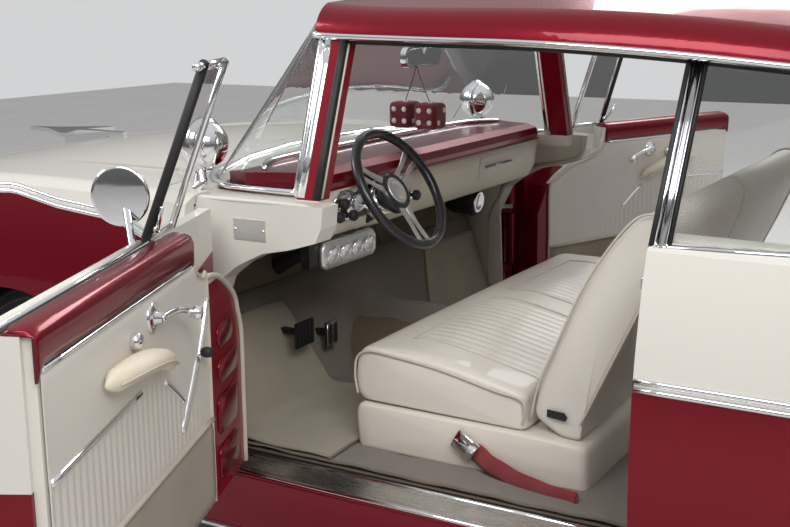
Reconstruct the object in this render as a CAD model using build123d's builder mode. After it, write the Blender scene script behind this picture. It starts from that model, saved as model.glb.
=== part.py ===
import os
from math import cos, radians, sin, sqrt

from build123d import *

os.makedirs("parts", exist_ok=True)

# Frame: front of the car towards -Y, driver's side +X, ground at Z = 0.

# Driving sizes of the body, in mm
half_width = 950.0
belt_z = 985.0
side_z = 620.0
skirt_z = 300.0
skirt_in = 28.0
belt_in = 63.0
shoulder_in = 130.0
shoulder_rise = 20.0
skin = 35.0
panel = 25.0
gap = 6.0
seat_gap = 0.3

front_y = -2600.0
rear_y = 2600.0
cabin_half = 787.0
inner_wall = cabin_half

# Wheels and axles
axle_front_y = -1700.0
axle_rear_y = 1310.0
tyre_r = 355.5
tyre_half = 92.5
bead_r = 192.0
rim_r = 191.7
rim_half = 74.0
track_half_front = 740.0
track_half_rear = 750.0
tub_in = track_half_rear - 130
hub_bore_r = 22.0
hub_bore_depth = 86.0
run_clear = 0.05
arch_r = 405.0
arch_drop = 37.0
tub_r = 425.0
tub_wall = 14.0
kingpin_x = 655.0
kingpin_half = 105.0
stud_r = 12.0

# Doors
hinge_x = 926.0
hinge_y = -1100.0
nose_r = 25.0
door_rear_y = 15.0
door_rear_slant = 20.0
door_bottom_z = 342.0
door_inner_x = 812.0
trim_x = 794.0
dogleg_x = 852.0
door_open = 68.0
jamb_y = 21.0
hinge_heights = (470.0, 700.0)
hinge_ear = 30.0
hinge_ear_r = 12.0
hinge_pin_r = 6.0
hinge_pin_len = 24.0

# Sills and floor
sill_z = 335.0
rocker_in = 38.0
rocker_z = 175.0
floor_z = 345.0
floor_t = 22.0
hump_z = 430.0
boot_z = 560.0
tunnel_half = 170.0
tunnel_z = 540.0

# Cowl, hood and trunk lid
firewall_y = -1240.0
cowl_front_y = -1385.0
hood_rear_y = -1400.0
hood_half = 606.0
fender_in = 612.0
cowl_crown_z = 1052.0
cowl_side_z = 1005.0
cowl_half = 795.0
deck_front_y = 900.0
lid_front_y = 1250.0
lid_half = 564.0
quarter_in = 570.0
lid_t = 30.0
lid_gap = 14.0
lid_pin_r = 4.0
lid_pin_in = 14.0
lid_hinge_x = 250.0
lid_ear_r = 7.0
lid_ear_half = 8.0
hood_hinge_z = 1031.0
lid_hinge_z = 984.0

# Roof and glass
roof_t = 38.0
glass_t = 6.0

# Plate bolts on the rear panel
plate_y = 2560.0
plate_z = 545.0
plate_bolts_x = 178.0
plate_bolts_z = 121.0
plate_bolt_r = 3.25
plate_bolt_depth = 25.0

# Steering
wheel_x, wheel_y, wheel_z = 380.0, -822.0, 975.0
wheel_tilt = 31.8
wheel_ring_r = 165.0
wheel_grip_r = 13.0
column_r = 26.0
hub_back = 42.0
wheel_shaft_r = 10.0

# Front seat
seat_half = 655.0
seat_front_y = -812.0
base_z = 470.0
seat_split = 6.0


def block(x0, x1, y0, y1, z0, z1, mode=Mode.ADD):
    """A box given by its limits along X, Y and Z."""
    with Locations(((x0 + x1) / 2, (y0 + y1) / 2, (z0 + z1) / 2)):
        Box(x1 - x0, y1 - y0, z1 - z0, mode=mode)


def rod(start, end, radius, mode=Mode.ADD):
    """A round bar from one point to another."""
    along = Vector(*end) - Vector(*start)
    with BuildSketch(Plane(origin=start, z_dir=along)) as end:
        Circle(radius)
    extrude(end.sketch, amount=along.length, mode=mode)


def side_shape(points, x0, x1, mode=Mode.ADD):
    """A side view outline in Y and Z, run across the car from x0 to x1."""
    with BuildSketch(Plane.YZ.offset(x0)) as outline:
        with BuildLine():
            Polyline(points, close=True)
        make_face()
    extrude(outline.sketch, amount=x1 - x0, mode=mode)


def plan_shape(points, z0, z1, mode=Mode.ADD):
    """A top view outline in X and Y, run upwards from z0 to z1."""
    with BuildSketch(Plane.XY.offset(z0)) as outline:
        with BuildLine():
            Polyline(points, close=True)
        make_face()
    extrude(outline.sketch, amount=z1 - z0, mode=mode)


def swung(points):
    """Plan points given along and out from the driver's hinge, with that door standing open."""
    c, n = cos(radians(door_open)), sin(radians(door_open))
    return [(hinge_x + along * n + out * c, hinge_y + along * c - out * n) for along, out in points]


def save(shape, name):
    shape.label = name
    export_step(shape, f"parts/{name}.step")


def save_pair(shape, name):
    """The left piece as made, and the right one as its mirror image."""
    other = mirror(shape, about=Plane.YZ)
    save(shape, f"{name}_left")
    save(other, f"{name}_right")


def body_section(y, width, bottom, top, inner_x, inner_z):
    """Cross-section of a fender or quarter: rounded side, shoulder and top."""
    with BuildSketch(Plane.XZ.offset(-y)) as section:
        with BuildLine():
            side_top = (width - belt_in, top - shoulder_rise)
            shoulder = (width - shoulder_in, top)
            Line((inner_x, bottom), (width - skirt_in, bottom))
            ThreePointArc((width - skirt_in, bottom), (width, side_z), side_top)
            ThreePointArc(side_top, (width - belt_in - 28, top - 5), shoulder)
            Line(shoulder, (inner_x, inner_z))
            Line((inner_x, inner_z), (inner_x, bottom))
        make_face()
    return section.sketch


# Hinge arms of the hood and trunk lid, and the pockets that take them
def hinge_arm(x, y, z, toward):
    """An arm that comes up under the lid to its pin; toward is the sign of Y of the fixed side."""
    y0, y1 = sorted((y - toward * lid_ear_r, y + toward * (lid_pin_in + lid_gap + 16)))
    block(x - lid_ear_half, x + lid_ear_half, y0, y1, z - 40, z - 26)
    y0, y1 = sorted((y - toward * lid_ear_r, y + toward * lid_ear_r))
    block(x - lid_ear_half, x + lid_ear_half, y0, y1, z - 40, z)
    y0, y1 = sorted((y + toward * (lid_pin_in + lid_gap + 1), y + toward * (lid_pin_in + lid_gap + 16)))
    block(x - lid_ear_half, x + lid_ear_half, y0, y1, z - 40, z - 4)
    with Locations((x, y, z)):
        Cylinder(lid_ear_r, 2 * lid_ear_half, rotation=(0, 90, 0))
        Cylinder(lid_pin_r, 2 * lid_ear_half + 30, rotation=(0, 90, 0))


def hinge_pocket(x, y, z, toward):
    """Room for a hinge arm and a bore for its pin."""
    y0, y1 = sorted((y - toward * (lid_ear_r + 5), y + toward * (lid_pin_in + 5)))
    block(x - lid_ear_half - 4, x + lid_ear_half + 4, y0, y1, z - 80, z + lid_ear_r + 2, mode=Mode.SUBTRACT)
    with Locations((x, y, z)):
        Cylinder(lid_pin_r + run_clear, 2 * lid_ear_half + 32, rotation=(0, 90, 0), mode=Mode.SUBTRACT)


# Wheels: tyre and rim, turned about their own axle line
def tyre_at(x, y):
    with BuildPart() as tyre:
        with BuildSketch(Plane.XY.offset(tyre_r).move(Location((x, y, 0)))):
            with BuildLine():
                ThreePointArc((-68, bead_r), (-tyre_half, 255), (-80, 335))
                ThreePointArc((-80, 335), (-73, 350), (-58, tyre_r))
                Line((-58, tyre_r), (58, tyre_r))
                ThreePointArc((58, tyre_r), (73, 350), (80, 335))
                ThreePointArc((80, 335), (tyre_half, 255), (68, bead_r))
                Line((68, bead_r), (-68, bead_r))
            make_face()
        revolve(axis=Axis((x, y, tyre_r), (1, 0, 0)))
    return tyre.part


def rim_at(x, y):
    """Steel wheel with its full cover; outboard is +X."""
    with BuildPart() as rim:
        with BuildSketch(Plane.XY.offset(tyre_r).move(Location((x, y, 0)))):
            with BuildLine():
                Polyline([(84, 0), (80, 58), (64, 120), (58, 165), (72, 178), (rim_half, rim_r),
                          (-rim_half, rim_r), (-rim_half, 175), (20, 172), (34, 150), (30, 62),
                          (-38, 62), (-38, hub_bore_r), (hub_bore_depth - 38, hub_bore_r),
                          (hub_bore_depth - 38, 0)], close=True)
            make_face()
        revolve(axis=Axis((x, y, tyre_r), (1, 0, 0)))
    return rim.part


for end, track, axle_y in (("front", track_half_front, axle_front_y), ("rear", track_half_rear, axle_rear_y)):
    save_pair(tyre_at(track, axle_y), f"tyre_{end}")
    save_pair(rim_at(track, axle_y), f"rim_{end}")

# Front knuckles and suspension
with BuildPart() as knuckle:
    block(kingpin_x - 25, kingpin_x + 29, axle_front_y - 32, axle_front_y + 32,
          tyre_r - kingpin_half, tyre_r + kingpin_half)
    block(kingpin_x - 25, kingpin_x, axle_front_y + 32, axle_front_y + 130,
          tyre_r - kingpin_half, tyre_r - kingpin_half + 28)
    rod((kingpin_x + 29, axle_front_y, tyre_r),
        (track_half_front - 38 + hub_bore_depth - 2, axle_front_y, tyre_r), hub_bore_r - run_clear)
    for low in (tyre_r - kingpin_half, tyre_r + kingpin_half - 32):
        rod((kingpin_x, axle_front_y, low), (kingpin_x, axle_front_y, low + 32),
            stud_r + run_clear, mode=Mode.SUBTRACT)
save_pair(knuckle.part, "knuckle")

arm_plan = [(1, 28), (-35, 40), (-135, 60), (-200, 90), (-200, -90), (-135, -60), (-35, -40), (1, -28)]
with BuildPart() as suspension:
    block(-500, 500, axle_front_y - 70, axle_front_y + 70, 200, 260)
    for side in (1, -1):
        block(side * 475 - 25, side * 475 + 25, axle_front_y - 60, axle_front_y + 60, 255, 500)
        arm = [(side * (kingpin_x + 24 + dx), axle_front_y + dy) for dx, dy in arm_plan]
        plan_shape(arm, tyre_r - kingpin_half - 28, tyre_r - kingpin_half - 6)
        plan_shape(arm, tyre_r + kingpin_half + 6, tyre_r + kingpin_half + 28)
        rod((side * kingpin_x, axle_front_y, tyre_r - kingpin_half - 8),
            (side * kingpin_x, axle_front_y, tyre_r - kingpin_half + 28), stud_r)
        rod((side * kingpin_x, axle_front_y, tyre_r + kingpin_half - 28),
            (side * kingpin_x, axle_front_y, tyre_r + kingpin_half + 8), stud_r)
save(suspension.part, "front_suspension")

# Rear axle with its leaf springs
spring_x = tub_in - 80
spring_half = 30.0
spring_line = [(-695, 303), (-690, 330), (-670, 340), (-350, 300), (0, 290), (350, 320), (675, 380), (725, 380),
               (725, 352), (350, 296), (0, 262), (-350, 272), (-642, 303)]
with BuildPart() as rear_axle:
    rod((-track_half_rear + 40, axle_rear_y, tyre_r), (track_half_rear - 40, axle_rear_y, tyre_r), 38)
    for side in (1, -1):
        rod((side * (track_half_rear - 45), axle_rear_y, tyre_r),
            (side * (track_half_rear - 38 + hub_bore_depth - 2), axle_rear_y, tyre_r),
            hub_bore_r - run_clear)
        leaf = [(axle_rear_y + dy, z) for dy, z in spring_line]
        side_shape(leaf, side * spring_x - spring_half, side * spring_x + spring_half)
        block(side * spring_x - 40, side * spring_x + 40, axle_rear_y - 60, axle_rear_y + 60, 255, 345)
    with Locations((0, axle_rear_y, tyre_r)):
        Sphere(125)
save(rear_axle.part, "rear_axle")

# Chassis frame: two kicked-up side rails, cross members and body mounts
rail_x1 = tub_in - 170
rail_x0 = rail_x1 - 65
mount_x = rail_x1 - 33
mount_r = 30.0
rail_top = [(-2480, 400), (-1280, 400), (-1150, 290), (850, 290), (1040, 528), (1640, 528), (1780, 395), (2480, 395)]
rail_low = [(2480, 305), (1760, 305), (1610, 430), (1080, 430), (880, 190), (-1180, 190), (-1320, 300), (-2480, 300)]
with BuildPart() as chassis:
    for side in (1, -1):
        side_shape(rail_top + rail_low, min(side * rail_x0, side * rail_x1), max(side * rail_x0, side * rail_x1))
        for y in (-1000, -300, 250):
            rod((side * mount_x, y, 280), (side * mount_x, y, floor_z - floor_t), mount_r)
        rod((side * mount_x, 1200, 520), (side * mount_x, 1200, boot_z - floor_t), mount_r)
        rod((side * mount_x, 2200, 390), (side * mount_x, 2200, hump_z - floor_t), mount_r)
        for y, z0, z1 in ((-665, 215, 303), (700, 380, 394)):
            block(side * (spring_x - 45) - 75, side * (spring_x - 45) + 75, axle_rear_y + y - 20,
                  axle_rear_y + y + 20, z0, z1)
        for y0, y1 in ((front_y, front_y + 160), (rear_y - 160, rear_y)):
            block(side * mount_x - 25, side * mount_x + 25, y0, y1, 325, 390)
    for y0, y1, z0, z1 in ((-2440, -2380, 305, 395), (-1040, -960, 222, 285), (560, 620, 222, 285),
                           (1640, 1700, 400, 470), (2300, 2360, 310, 390)):
        block(-rail_x0 - 10, rail_x0 + 10, y0, y1, z0, z1)
save(chassis.part, "chassis_frame")

# Engine, gearbox and driveshaft as plain forms
with BuildPart() as engine:
    block(-260, 260, -2050, -1330, 260, 780)
    block(-rail_x0, rail_x0, -1840, -1780, 330, 380)
    rod((0, -1335, 395), (0, -900, 390), 92)
    rod((0, -905, 385), (0, axle_rear_y - 135, tyre_r), 34)
save(engine.part, "engine")

with BuildPart() as tank:
    block(-rail_x0 + 55, rail_x0 - 55, 1860, 2280, 240, hump_z - floor_t)
    fillet(tank.edges().filter_by(Axis.X), 30)
save(tank.part, "fuel_tank")

pipe_r = 22.0
pipe_x = rail_x0 - 65
tail_pipe_x = tub_in + 10
pipe_route = [(pipe_x, -1300, 190), (pipe_x, 760, 190), (tail_pipe_x, 1800, 190), (tail_pipe_x, 2520, 235)]
with BuildPart() as exhaust:
    for side in (1, -1):
        route = [(side * x, y, z) for x, y, z in pipe_route]
        for start, end in zip(route, route[1:]):
            rod(start, end, pipe_r)
        for x, y, z in route[1:-1]:
            with Locations((x, y, z)):
                Sphere(pipe_r + 2)
        rod((side * pipe_x, -650, 205), (side * pipe_x, -50, 205), 58)
        block(side * pipe_x - 15, side * pipe_x + 15, -340, -330, 240, floor_z - floor_t)
        block(side * tail_pipe_x - 15, side * tail_pipe_x + 15, 2290, 2300, 215, hump_z - floor_t)
save(exhaust.part, "exhaust")

# Floor pan: toe board, flat floor, heel step, rear seat floor and trunk floor, with its tunnel
toe_y = -1100.0
floor_line = [(firewall_y, 760), (toe_y, floor_z), (310, floor_z), (340, hump_z), (830, hump_z),
              (890, boot_z), (1700, boot_z), (1800, hump_z), (2470, hump_z)]
tunnel_step = -850.0
tunnel_rows = ((firewall_y, tunnel_step, tunnel_half, tunnel_z), (tunnel_step, 342.0, 120.0, 446.0))


def tunnel(y0, y1, half, top, wall):
    """The driveshaft tunnel's arch: the outer form with wall 0, or its hollow inside a wall."""
    with BuildSketch(Plane.XZ.offset(-y1)) as section:
        with BuildLine():
            ThreePointArc((-half + wall, floor_z - floor_t), (0, top - wall), (half - wall, floor_z - floor_t))
            Line((half - wall, floor_z - floor_t), (-half + wall, floor_z - floor_t))
        make_face()
    extrude(section.sketch, amount=y1 - y0, mode=Mode.SUBTRACT if wall else Mode.ADD)


with BuildPart() as floor:
    under = [(y, z - floor_t) for y, z in floor_line]
    side_shape(floor_line + under[::-1], -cabin_half, cabin_half)
    for side in (1, -1):
        block(side * (tub_in + 240) - 248, side * (tub_in + 240) + 248, axle_rear_y - tub_r - tub_wall - 6,
              axle_rear_y + tub_r + tub_wall + 6, 400, 700, mode=Mode.SUBTRACT)
    for y0, y1, half, top in tunnel_rows:
        block(-half + 1, half - 1, y0 - 1, y1 + 1, 300, 800, mode=Mode.SUBTRACT)
    for y0, y1, half, top in tunnel_rows:
        tunnel(y0, y1, half, top, 0)
        tunnel(y0, y1, half, top, floor_t)
    tunnel(tunnel_step - floor_t, tunnel_step, tunnel_half, tunnel_z, 0)
    rod((0, tunnel_step - floor_t - 1, 385), (0, tunnel_step + 1, 385), 58, mode=Mode.SUBTRACT)
    block(-58, 58, tunnel_step - floor_t - 1, tunnel_step + 1, 300, 385, mode=Mode.SUBTRACT)
    side_shape([(firewall_y, tunnel_z - 30), (firewall_y, 760), (-1168, tunnel_z - 30)], -tunnel_half, tunnel_half)
    tunnel(firewall_y - 1, toe_y, tunnel_half, tunnel_z, floor_t)

# The toe board is a panel of its own, joined to the flat floor across the car
with BuildPart() as toe_region:
    block(-cabin_half - 1, cabin_half + 1, firewall_y - 1, toe_y, 0, 1000)
save(floor.part - toe_region.part, "floor_pan")
save(floor.part & toe_region.part, "toe_board")

# Quarter panel and rocker of one side
quarter_sections = [  # y, half width, bottom, top, inner x, inner z
    (jamb_y, half_width, skirt_z, belt_z + shoulder_rise, quarter_in, belt_z + shoulder_rise),
    (1100, half_width, skirt_z, belt_z + shoulder_rise, quarter_in, belt_z + shoulder_rise),
    (2000, half_width - 18, skirt_z + 40, belt_z + 5, quarter_in, belt_z + 5),
    (rear_y, half_width - 60, skirt_z + 145, belt_z - 40, quarter_in, belt_z - 50),
]


with BuildPart() as quarter:
    loft([body_section(*row) for row in quarter_sections])
    block(500, inner_wall, 0, deck_front_y, 0, 1200, mode=Mode.SUBTRACT)
    block(500, cowl_half, deck_front_y - 1, lid_front_y, 0, 1200, mode=Mode.SUBTRACT)
    plan_shape([(500, deck_front_y), (half_width - skin - 10, deck_front_y), (half_width - skin - 10, 1100),
                (half_width - skin - 28, 2000), (half_width - skin - 85, rear_y - 40), (500, rear_y - 40)],
               0, belt_z - 115, mode=Mode.SUBTRACT)
    rod((tub_in - 20, axle_rear_y, tyre_r), (half_width + 50, axle_rear_y, tyre_r), tub_r, mode=Mode.SUBTRACT)
    block(645, inner_wall, 330, 825, hump_z, 740)
    block(cabin_half, half_width - rocker_in, -1190, jamb_y, rocker_z, sill_z)
    block(cabin_half + 20, half_width - rocker_in, jamb_y - 1, deck_front_y - 25, rocker_z, skirt_z + 10)
    rod((tub_in, axle_rear_y, tyre_r), (half_width - skin - 10, axle_rear_y, tyre_r), tub_r + tub_wall)
    rod((tub_in + tub_wall, axle_rear_y, tyre_r), (half_width - skin - 12, axle_rear_y, tyre_r), tub_r,
        mode=Mode.SUBTRACT)
    rod((half_width - 120, axle_rear_y, tyre_r - 60), (half_width + 50, axle_rear_y, tyre_r - 60), arch_r,
        mode=Mode.SUBTRACT)
    block(tub_in - 20, half_width - skin - 9, axle_rear_y - tub_r - tub_wall, axle_rear_y + tub_r + tub_wall, -100,
          skirt_z + 20, mode=Mode.SUBTRACT)
    block(tub_in - 20, tub_in + 20, axle_rear_y - 80, axle_rear_y + 80, 0, boot_z, mode=Mode.SUBTRACT)
save_pair(quarter.part, "quarter")

# Front fender of one side
fender_sections = [  # y, half width, bottom, top, inner x, inner z
    (hinge_y - 24, half_width, skirt_z, belt_z + shoulder_rise, fender_in, 1022),
    (axle_front_y, half_width, skirt_z, belt_z + shoulder_rise + 8, fender_in, 1016),
    (-2300, half_width - 18, skirt_z + 60, belt_z - 10, fender_in, 978),
    (front_y, half_width - 55, skirt_z + 145, belt_z - 70, fender_in, 905),
]
lamp_x, lamp_z, lamp_r = 790.0, 770.0, 105.0
with BuildPart() as fender:
    loft([body_section(*row) for row in fender_sections])
    plan_shape([(500, hinge_y + 1), (half_width - skin, hinge_y + 1), (half_width - skin, axle_front_y),
                (half_width - skin - 25, -2300), (half_width - skin - 62, front_y + 40), (500, front_y + 40)],
               0, belt_z - 110, mode=Mode.SUBTRACT)
    side_shape([(hinge_y + 1, 0), (hinge_y + 1, 980), (axle_front_y, 990), (-2300, 940), (-2440, 880),
                (-2440, 0)], 500, half_width - skin - 70, mode=Mode.SUBTRACT)
    block(500, cowl_half + gap, firewall_y - 31, hinge_y + 1, 0, 1200, mode=Mode.SUBTRACT)
    block(500, dogleg_x + gap, firewall_y - 31, hinge_y + 1, 0, 980, mode=Mode.SUBTRACT)
    plan_shape(swung([(-nose_r, -200), (300, -200), (300, half_width - hinge_x + gap),
                      (-nose_r, half_width - hinge_x + gap)]), 0, 1200, mode=Mode.SUBTRACT)
    rod((half_width - 180, axle_front_y, tyre_r - arch_drop), (1000, axle_front_y, tyre_r - arch_drop),
        arch_r, mode=Mode.SUBTRACT)
    with Locations((hinge_x, hinge_y, 600)):
        Cylinder(nose_r + gap, 1200, mode=Mode.SUBTRACT)
    rod((lamp_x, front_y + 60, lamp_z), (lamp_x, front_y - 1, lamp_z), lamp_r, mode=Mode.SUBTRACT)
save_pair(fender.part, "fender")

# Doors: shell, hinge notches, dogleg cut-out and mirrored pair
dogleg = [(-1125, 690), (-1112, 690), (-1075, 760), (-1058, 797), (-1004, 838), (-927, 876),
          (-854, 891), (-775, 915), (-758, 950), (-752, belt_z + 15), (-1115, belt_z + 15), (-1125, 970)]
door_cut = [(-1200, 690), (-1106, 690), (-1069, 752), (-1052, 790), (-998, 831), (-924, 869),
            (-852, 884), (-770, 908), (-751, 946), (-745, belt_z + 30), (-1200, belt_z + 30)]
with BuildPart() as door:
    with BuildSketch(Plane.XZ.offset(-hinge_y + nose_r + 10)):
        with BuildLine():
            Polyline([(half_width - belt_in, belt_z), (door_inner_x, belt_z), (door_inner_x, skirt_z),
                      (half_width - skirt_in, skirt_z)])
            ThreePointArc((half_width - skirt_in, skirt_z), (half_width, side_z), (half_width - belt_in, belt_z))
        make_face()
    extrude(amount=-(door_rear_y - hinge_y + nose_r + 10))
    with BuildSketch(Plane.XY.offset(door_bottom_z)):
        with BuildLine():
            Polyline([(1000, hinge_y), (1000, door_rear_y), (door_inner_x - 20, door_rear_y - door_rear_slant),
                      (door_inner_x - 20, hinge_y)], close=True)
        make_face()
        with Locations((hinge_x, hinge_y)):
            Circle(nose_r)
    extrude(amount=belt_z - door_bottom_z + 10, mode=Mode.INTERSECT)
    side_shape(door_cut, door_inner_x - 10, dogleg_x + gap, mode=Mode.SUBTRACT)
    for z in hinge_heights:
        with Locations((hinge_x, hinge_y, z)):
            Cylinder(hinge_ear_r + 5, hinge_ear + 10, mode=Mode.SUBTRACT)
            Cylinder(hinge_pin_r + run_clear, hinge_ear + 2 * hinge_pin_len + 2, mode=Mode.SUBTRACT)
        swing = [(hinge_x + r * cos(radians(a)), hinge_y + r * sin(radians(a)))
                 for r, a in ((0, 0), (60, 195), (75, 225), (80, 270), (60, 316))]
        plan_shape(swing, z - hinge_ear / 2 - 5, z + hinge_ear / 2 + 5, mode=Mode.SUBTRACT)


def opened(shape):
    """The driver's door pieces swung to the angle at which they stand."""
    return shape.rotate(Axis((hinge_x, hinge_y, 0), (0, 0, 1)), -door_open)


save_pair(opened(door.part), "door")

with BuildPart() as trim:
    side_shape([(-1090, 360), (-1090, 690), (-1063, 752), (-1046, 790), (-992, 831), (-918, 869), (-846, 884),
                (-764, 908), (-745, 950), (-740, belt_z), (-12, belt_z), (-12, 360)], trim_x, door_inner_x)
save_pair(opened(trim.part), "door_trim")

# Roof: crowned shell and rear pillars
roof_sections = [  # y, drip rail x, drip rail z, crown z
    (-905, 642, 1378, 1482),
    (-847, 650, 1373, 1492),
    (-300, 678, 1362, 1526),
    (250, 676, 1322, 1510),
    (600, 640, 1285, 1424),
]


def roof_section(y, drip_x, drip_z, crown_z):
    with BuildSketch(Plane.XZ.offset(-y)) as section:
        with BuildLine():
            for dx, dz, flip in ((0, 0, 1), (roof_t, roof_t * 0.6, -1)):
                a, b = (drip_x - dx, drip_z), (drip_x - 60 - dx * 0.3, drip_z + 78 - dz)
                ThreePointArc(a, (drip_x - 18 - dx * 0.7, drip_z + 48 - dz * 0.7), b)
                ThreePointArc(b, (0, crown_z - (roof_t if dx else 0)), (-b[0], b[1]))
                ThreePointArc((-b[0], b[1]), (-drip_x + 18 + dx * 0.7, drip_z + 48 - dz * 0.7), (-a[0], a[1]))
            Line((drip_x, drip_z), (drip_x - roof_t, drip_z))
            Line((-drip_x, drip_z), (-drip_x + roof_t, drip_z))
        make_face()
    return section.sketch


with BuildPart() as roof:
    loft([roof_section(*row) for row in roof_sections])
    for side in (1, -1):
        with BuildSketch(Plane.XY.offset(belt_z + shoulder_rise + 0.1)) as foot:
            with BuildLine():
                Polyline([(side * x, y) for x, y in ((838, 620), (838, 900), (765, 960), (795, 620))], close=True)
            make_face()
        with BuildSketch(Plane.XY.offset(1322)) as head:
            with BuildLine():
                Polyline([(side * x, y) for x, y in ((672, 270), (640, 596), (590, 596), (636, 270))], close=True)
            make_face()
        loft([foot.sketch, head.sketch], ruled=True)
save(roof.part, "roof")

# Cowl: firewall, cowl top, hinge pillars, doglegs and windshield pillars
ledge_x = 735.0
pillar_foot = (770.0, -838.0)
pillar_head = (625.0, -838.0)
pillar_top_z = 1384.0
pillar_size = (46.0, 62.0)
with BuildPart() as cowl:
    block(-cabin_half, cabin_half, firewall_y - panel, firewall_y, 740, 985)
    with BuildSketch(Plane.XZ.offset(-hinge_y + 45)):
        with BuildLine():
            ThreePointArc((-cowl_half, cowl_side_z), (0, cowl_crown_z), (cowl_half, cowl_side_z))
            Line((cowl_half, cowl_side_z), (cowl_half, cowl_side_z - panel))
            ThreePointArc((cowl_half, cowl_side_z - panel), (0, cowl_crown_z - panel),
                          (-cowl_half, cowl_side_z - panel))
            Line((-cowl_half, cowl_side_z - panel), (-cowl_half, cowl_side_z))
        make_face()
    extrude(amount=hinge_y - 45 - cowl_front_y)
    for side in (1, -1):
        block(side * 703 - 97, side * 703 + 97, cowl_front_y - 1, firewall_y - 26, 900, 1100, mode=Mode.SUBTRACT)
    with BuildSketch(Plane.XZ.offset(-firewall_y)) as wall_top:
        with BuildLine():
            ThreePointArc((-cabin_half, cowl_side_z - 8), (0, cowl_crown_z - 8), (cabin_half, cowl_side_z - 8))
            Polyline([(cabin_half, cowl_side_z - 8), (cabin_half, 960), (-cabin_half, 960),
                      (-cabin_half, cowl_side_z - 8)])
        make_face()
    extrude(wall_top.sketch, amount=panel)
    for side in (1, -1):
        x0, x1 = sorted((side * cabin_half, side * dogleg_x))
        side_shape(dogleg, x0, x1)
        lx0, lx1 = sorted((side * ledge_x, side * (dogleg_x - 5)))
        block(lx0, lx1, hinge_y - 18, pillar_foot[1] + pillar_size[1] / 2, 965, belt_z + 15)
        block(*sorted((side * ledge_x, side * cowl_half)), hinge_y - 46, hinge_y - 17, 965, belt_z + 15)
        block(x0, x1, firewall_y - panel, -1115, sill_z, 974)
        with BuildSketch(Plane.XY.offset(belt_z)) as foot:
            with Locations((side * pillar_foot[0], pillar_foot[1])):
                Rectangle(*pillar_size)
        with BuildSketch(Plane.XY.offset(pillar_top_z)) as head:
            with Locations((side * pillar_head[0], pillar_head[1])):
                Rectangle(*pillar_size)
        loft([foot.sketch, head.sketch], ruled=True)
        for z in hinge_heights:
            arm = [(side * x, y) for x, y in ((dogleg_x - 5, -1190), (dogleg_x - 5, -1155),
                                              (hinge_x - 3, hinge_y + 4), (hinge_x + 3, hinge_y - 4))]
            plan_shape(arm, z - hinge_ear / 2, z + hinge_ear / 2)
            with Locations((side * hinge_x, hinge_y, z)):
                Cylinder(hinge_ear_r, hinge_ear)
                Cylinder(hinge_pin_r, hinge_ear + 2 * hinge_pin_len)
        hinge_arm(side * lid_hinge_x, hood_rear_y - lid_pin_in, hood_hinge_z, 1)

cowl_body = cowl.part - roof.part
save(cowl_body, "cowl")

# Hood and trunk lid: crowned skins that turn down at their ends
def lid_form(arcs, half, edge_z, crown_z, depth, end):
    """What lies below a run of arcs and a crown, both lowered by depth; end is the sign of Y of the turned end."""
    shifted = [[(q[0] + depth * q[2], q[1] - depth * q[3]) for q in arc] for arc in arcs]
    start, last = shifted[0][0], shifted[-1][2]
    open_by = min(depth, 10)
    low_z = last[1] - 2 * open_by
    corners = [last, (last[0], low_z), (start[0] - end * open_by, low_z),
               (start[0] - end * open_by, start[1]), start]
    with BuildPart() as form:
        with BuildSketch(Plane.YZ.offset(-half - open_by)) as profile:
            with BuildLine():
                for arc in shifted:
                    ThreePointArc(*arc)
                Polyline([p for p, q in zip(corners, corners[1:] + [None]) if p != q])
            make_face()
        extrude(profile.sketch, amount=2 * (half + open_by))
        with BuildSketch(Plane.XZ.offset(3000)) as section:
            with BuildLine():
                side = half + open_by + 1
                ThreePointArc((-side, edge_z - depth), (0, crown_z - depth), (side, edge_z - depth))
                Polyline([(side, edge_z - depth), (side, 200), (-side, 200), (-side, edge_z - depth)])
            make_face()
        extrude(section.sketch, amount=-6000, mode=Mode.INTERSECT)
    return form.part


hood_rows = [  # y, edge z, crown z, depth
    (hood_rear_y, 1020, 1050, panel),
    (-1950, 1006, 1031, panel),
    (-2430, 948, 967, panel),
]
hood_lip = (-2520, 912, 926, panel - 1)


def hood_section(y, edge_z, crown_z, depth):
    """An arched band across the car."""
    with BuildSketch(Plane.XZ.offset(-y)) as section:
        with BuildLine():
            ThreePointArc((-hood_half, edge_z), (0, crown_z), (hood_half, edge_z))
            Line((hood_half, edge_z), (hood_half, edge_z - depth))
            ThreePointArc((hood_half, edge_z - depth), (0, crown_z - depth), (-hood_half, edge_z - depth))
            Line((-hood_half, edge_z - depth), (-hood_half, edge_z))
        make_face()
    return section.sketch


with BuildPart() as hood:
    loft([hood_section(*row) for row in hood_rows])
    loft([hood_section(*hood_rows[-1]), hood_section(*hood_lip)], ruled=True)
    for x in (-lid_hinge_x, lid_hinge_x):
        hinge_pocket(x, hood_rear_y - lid_pin_in, hood_hinge_z, 1)
save(hood.part, "hood")

# Points hold Y, Z and the direction in which the skin is thick: along Y and down
lid_arcs = [((lid_front_y + lid_gap, 1000, 0, 1), (1800, 990, 0, 1), (2340, 940, 0, 1)),
            ((2340, 940, 0, 1), (2460, 895, -0.5, 0.85), (2510, 800, -0.95, 0.3)),
            ((2510, 800, -0.95, 0.3), (2530, 720, -1, 0.15), (2540, 640, -1, 0))]
with BuildPart() as lid:
    add(lid_form(lid_arcs, lid_half, 986, 1001, 0, 1))
    add(lid_form(lid_arcs, lid_half, 986, 1001, lid_t, 1), mode=Mode.SUBTRACT)
    for x in (-lid_hinge_x, lid_hinge_x):
        hinge_pocket(x, lid_front_y + lid_gap + lid_pin_in, lid_hinge_z, -1)
save(lid.part, "trunk_lid")

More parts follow.
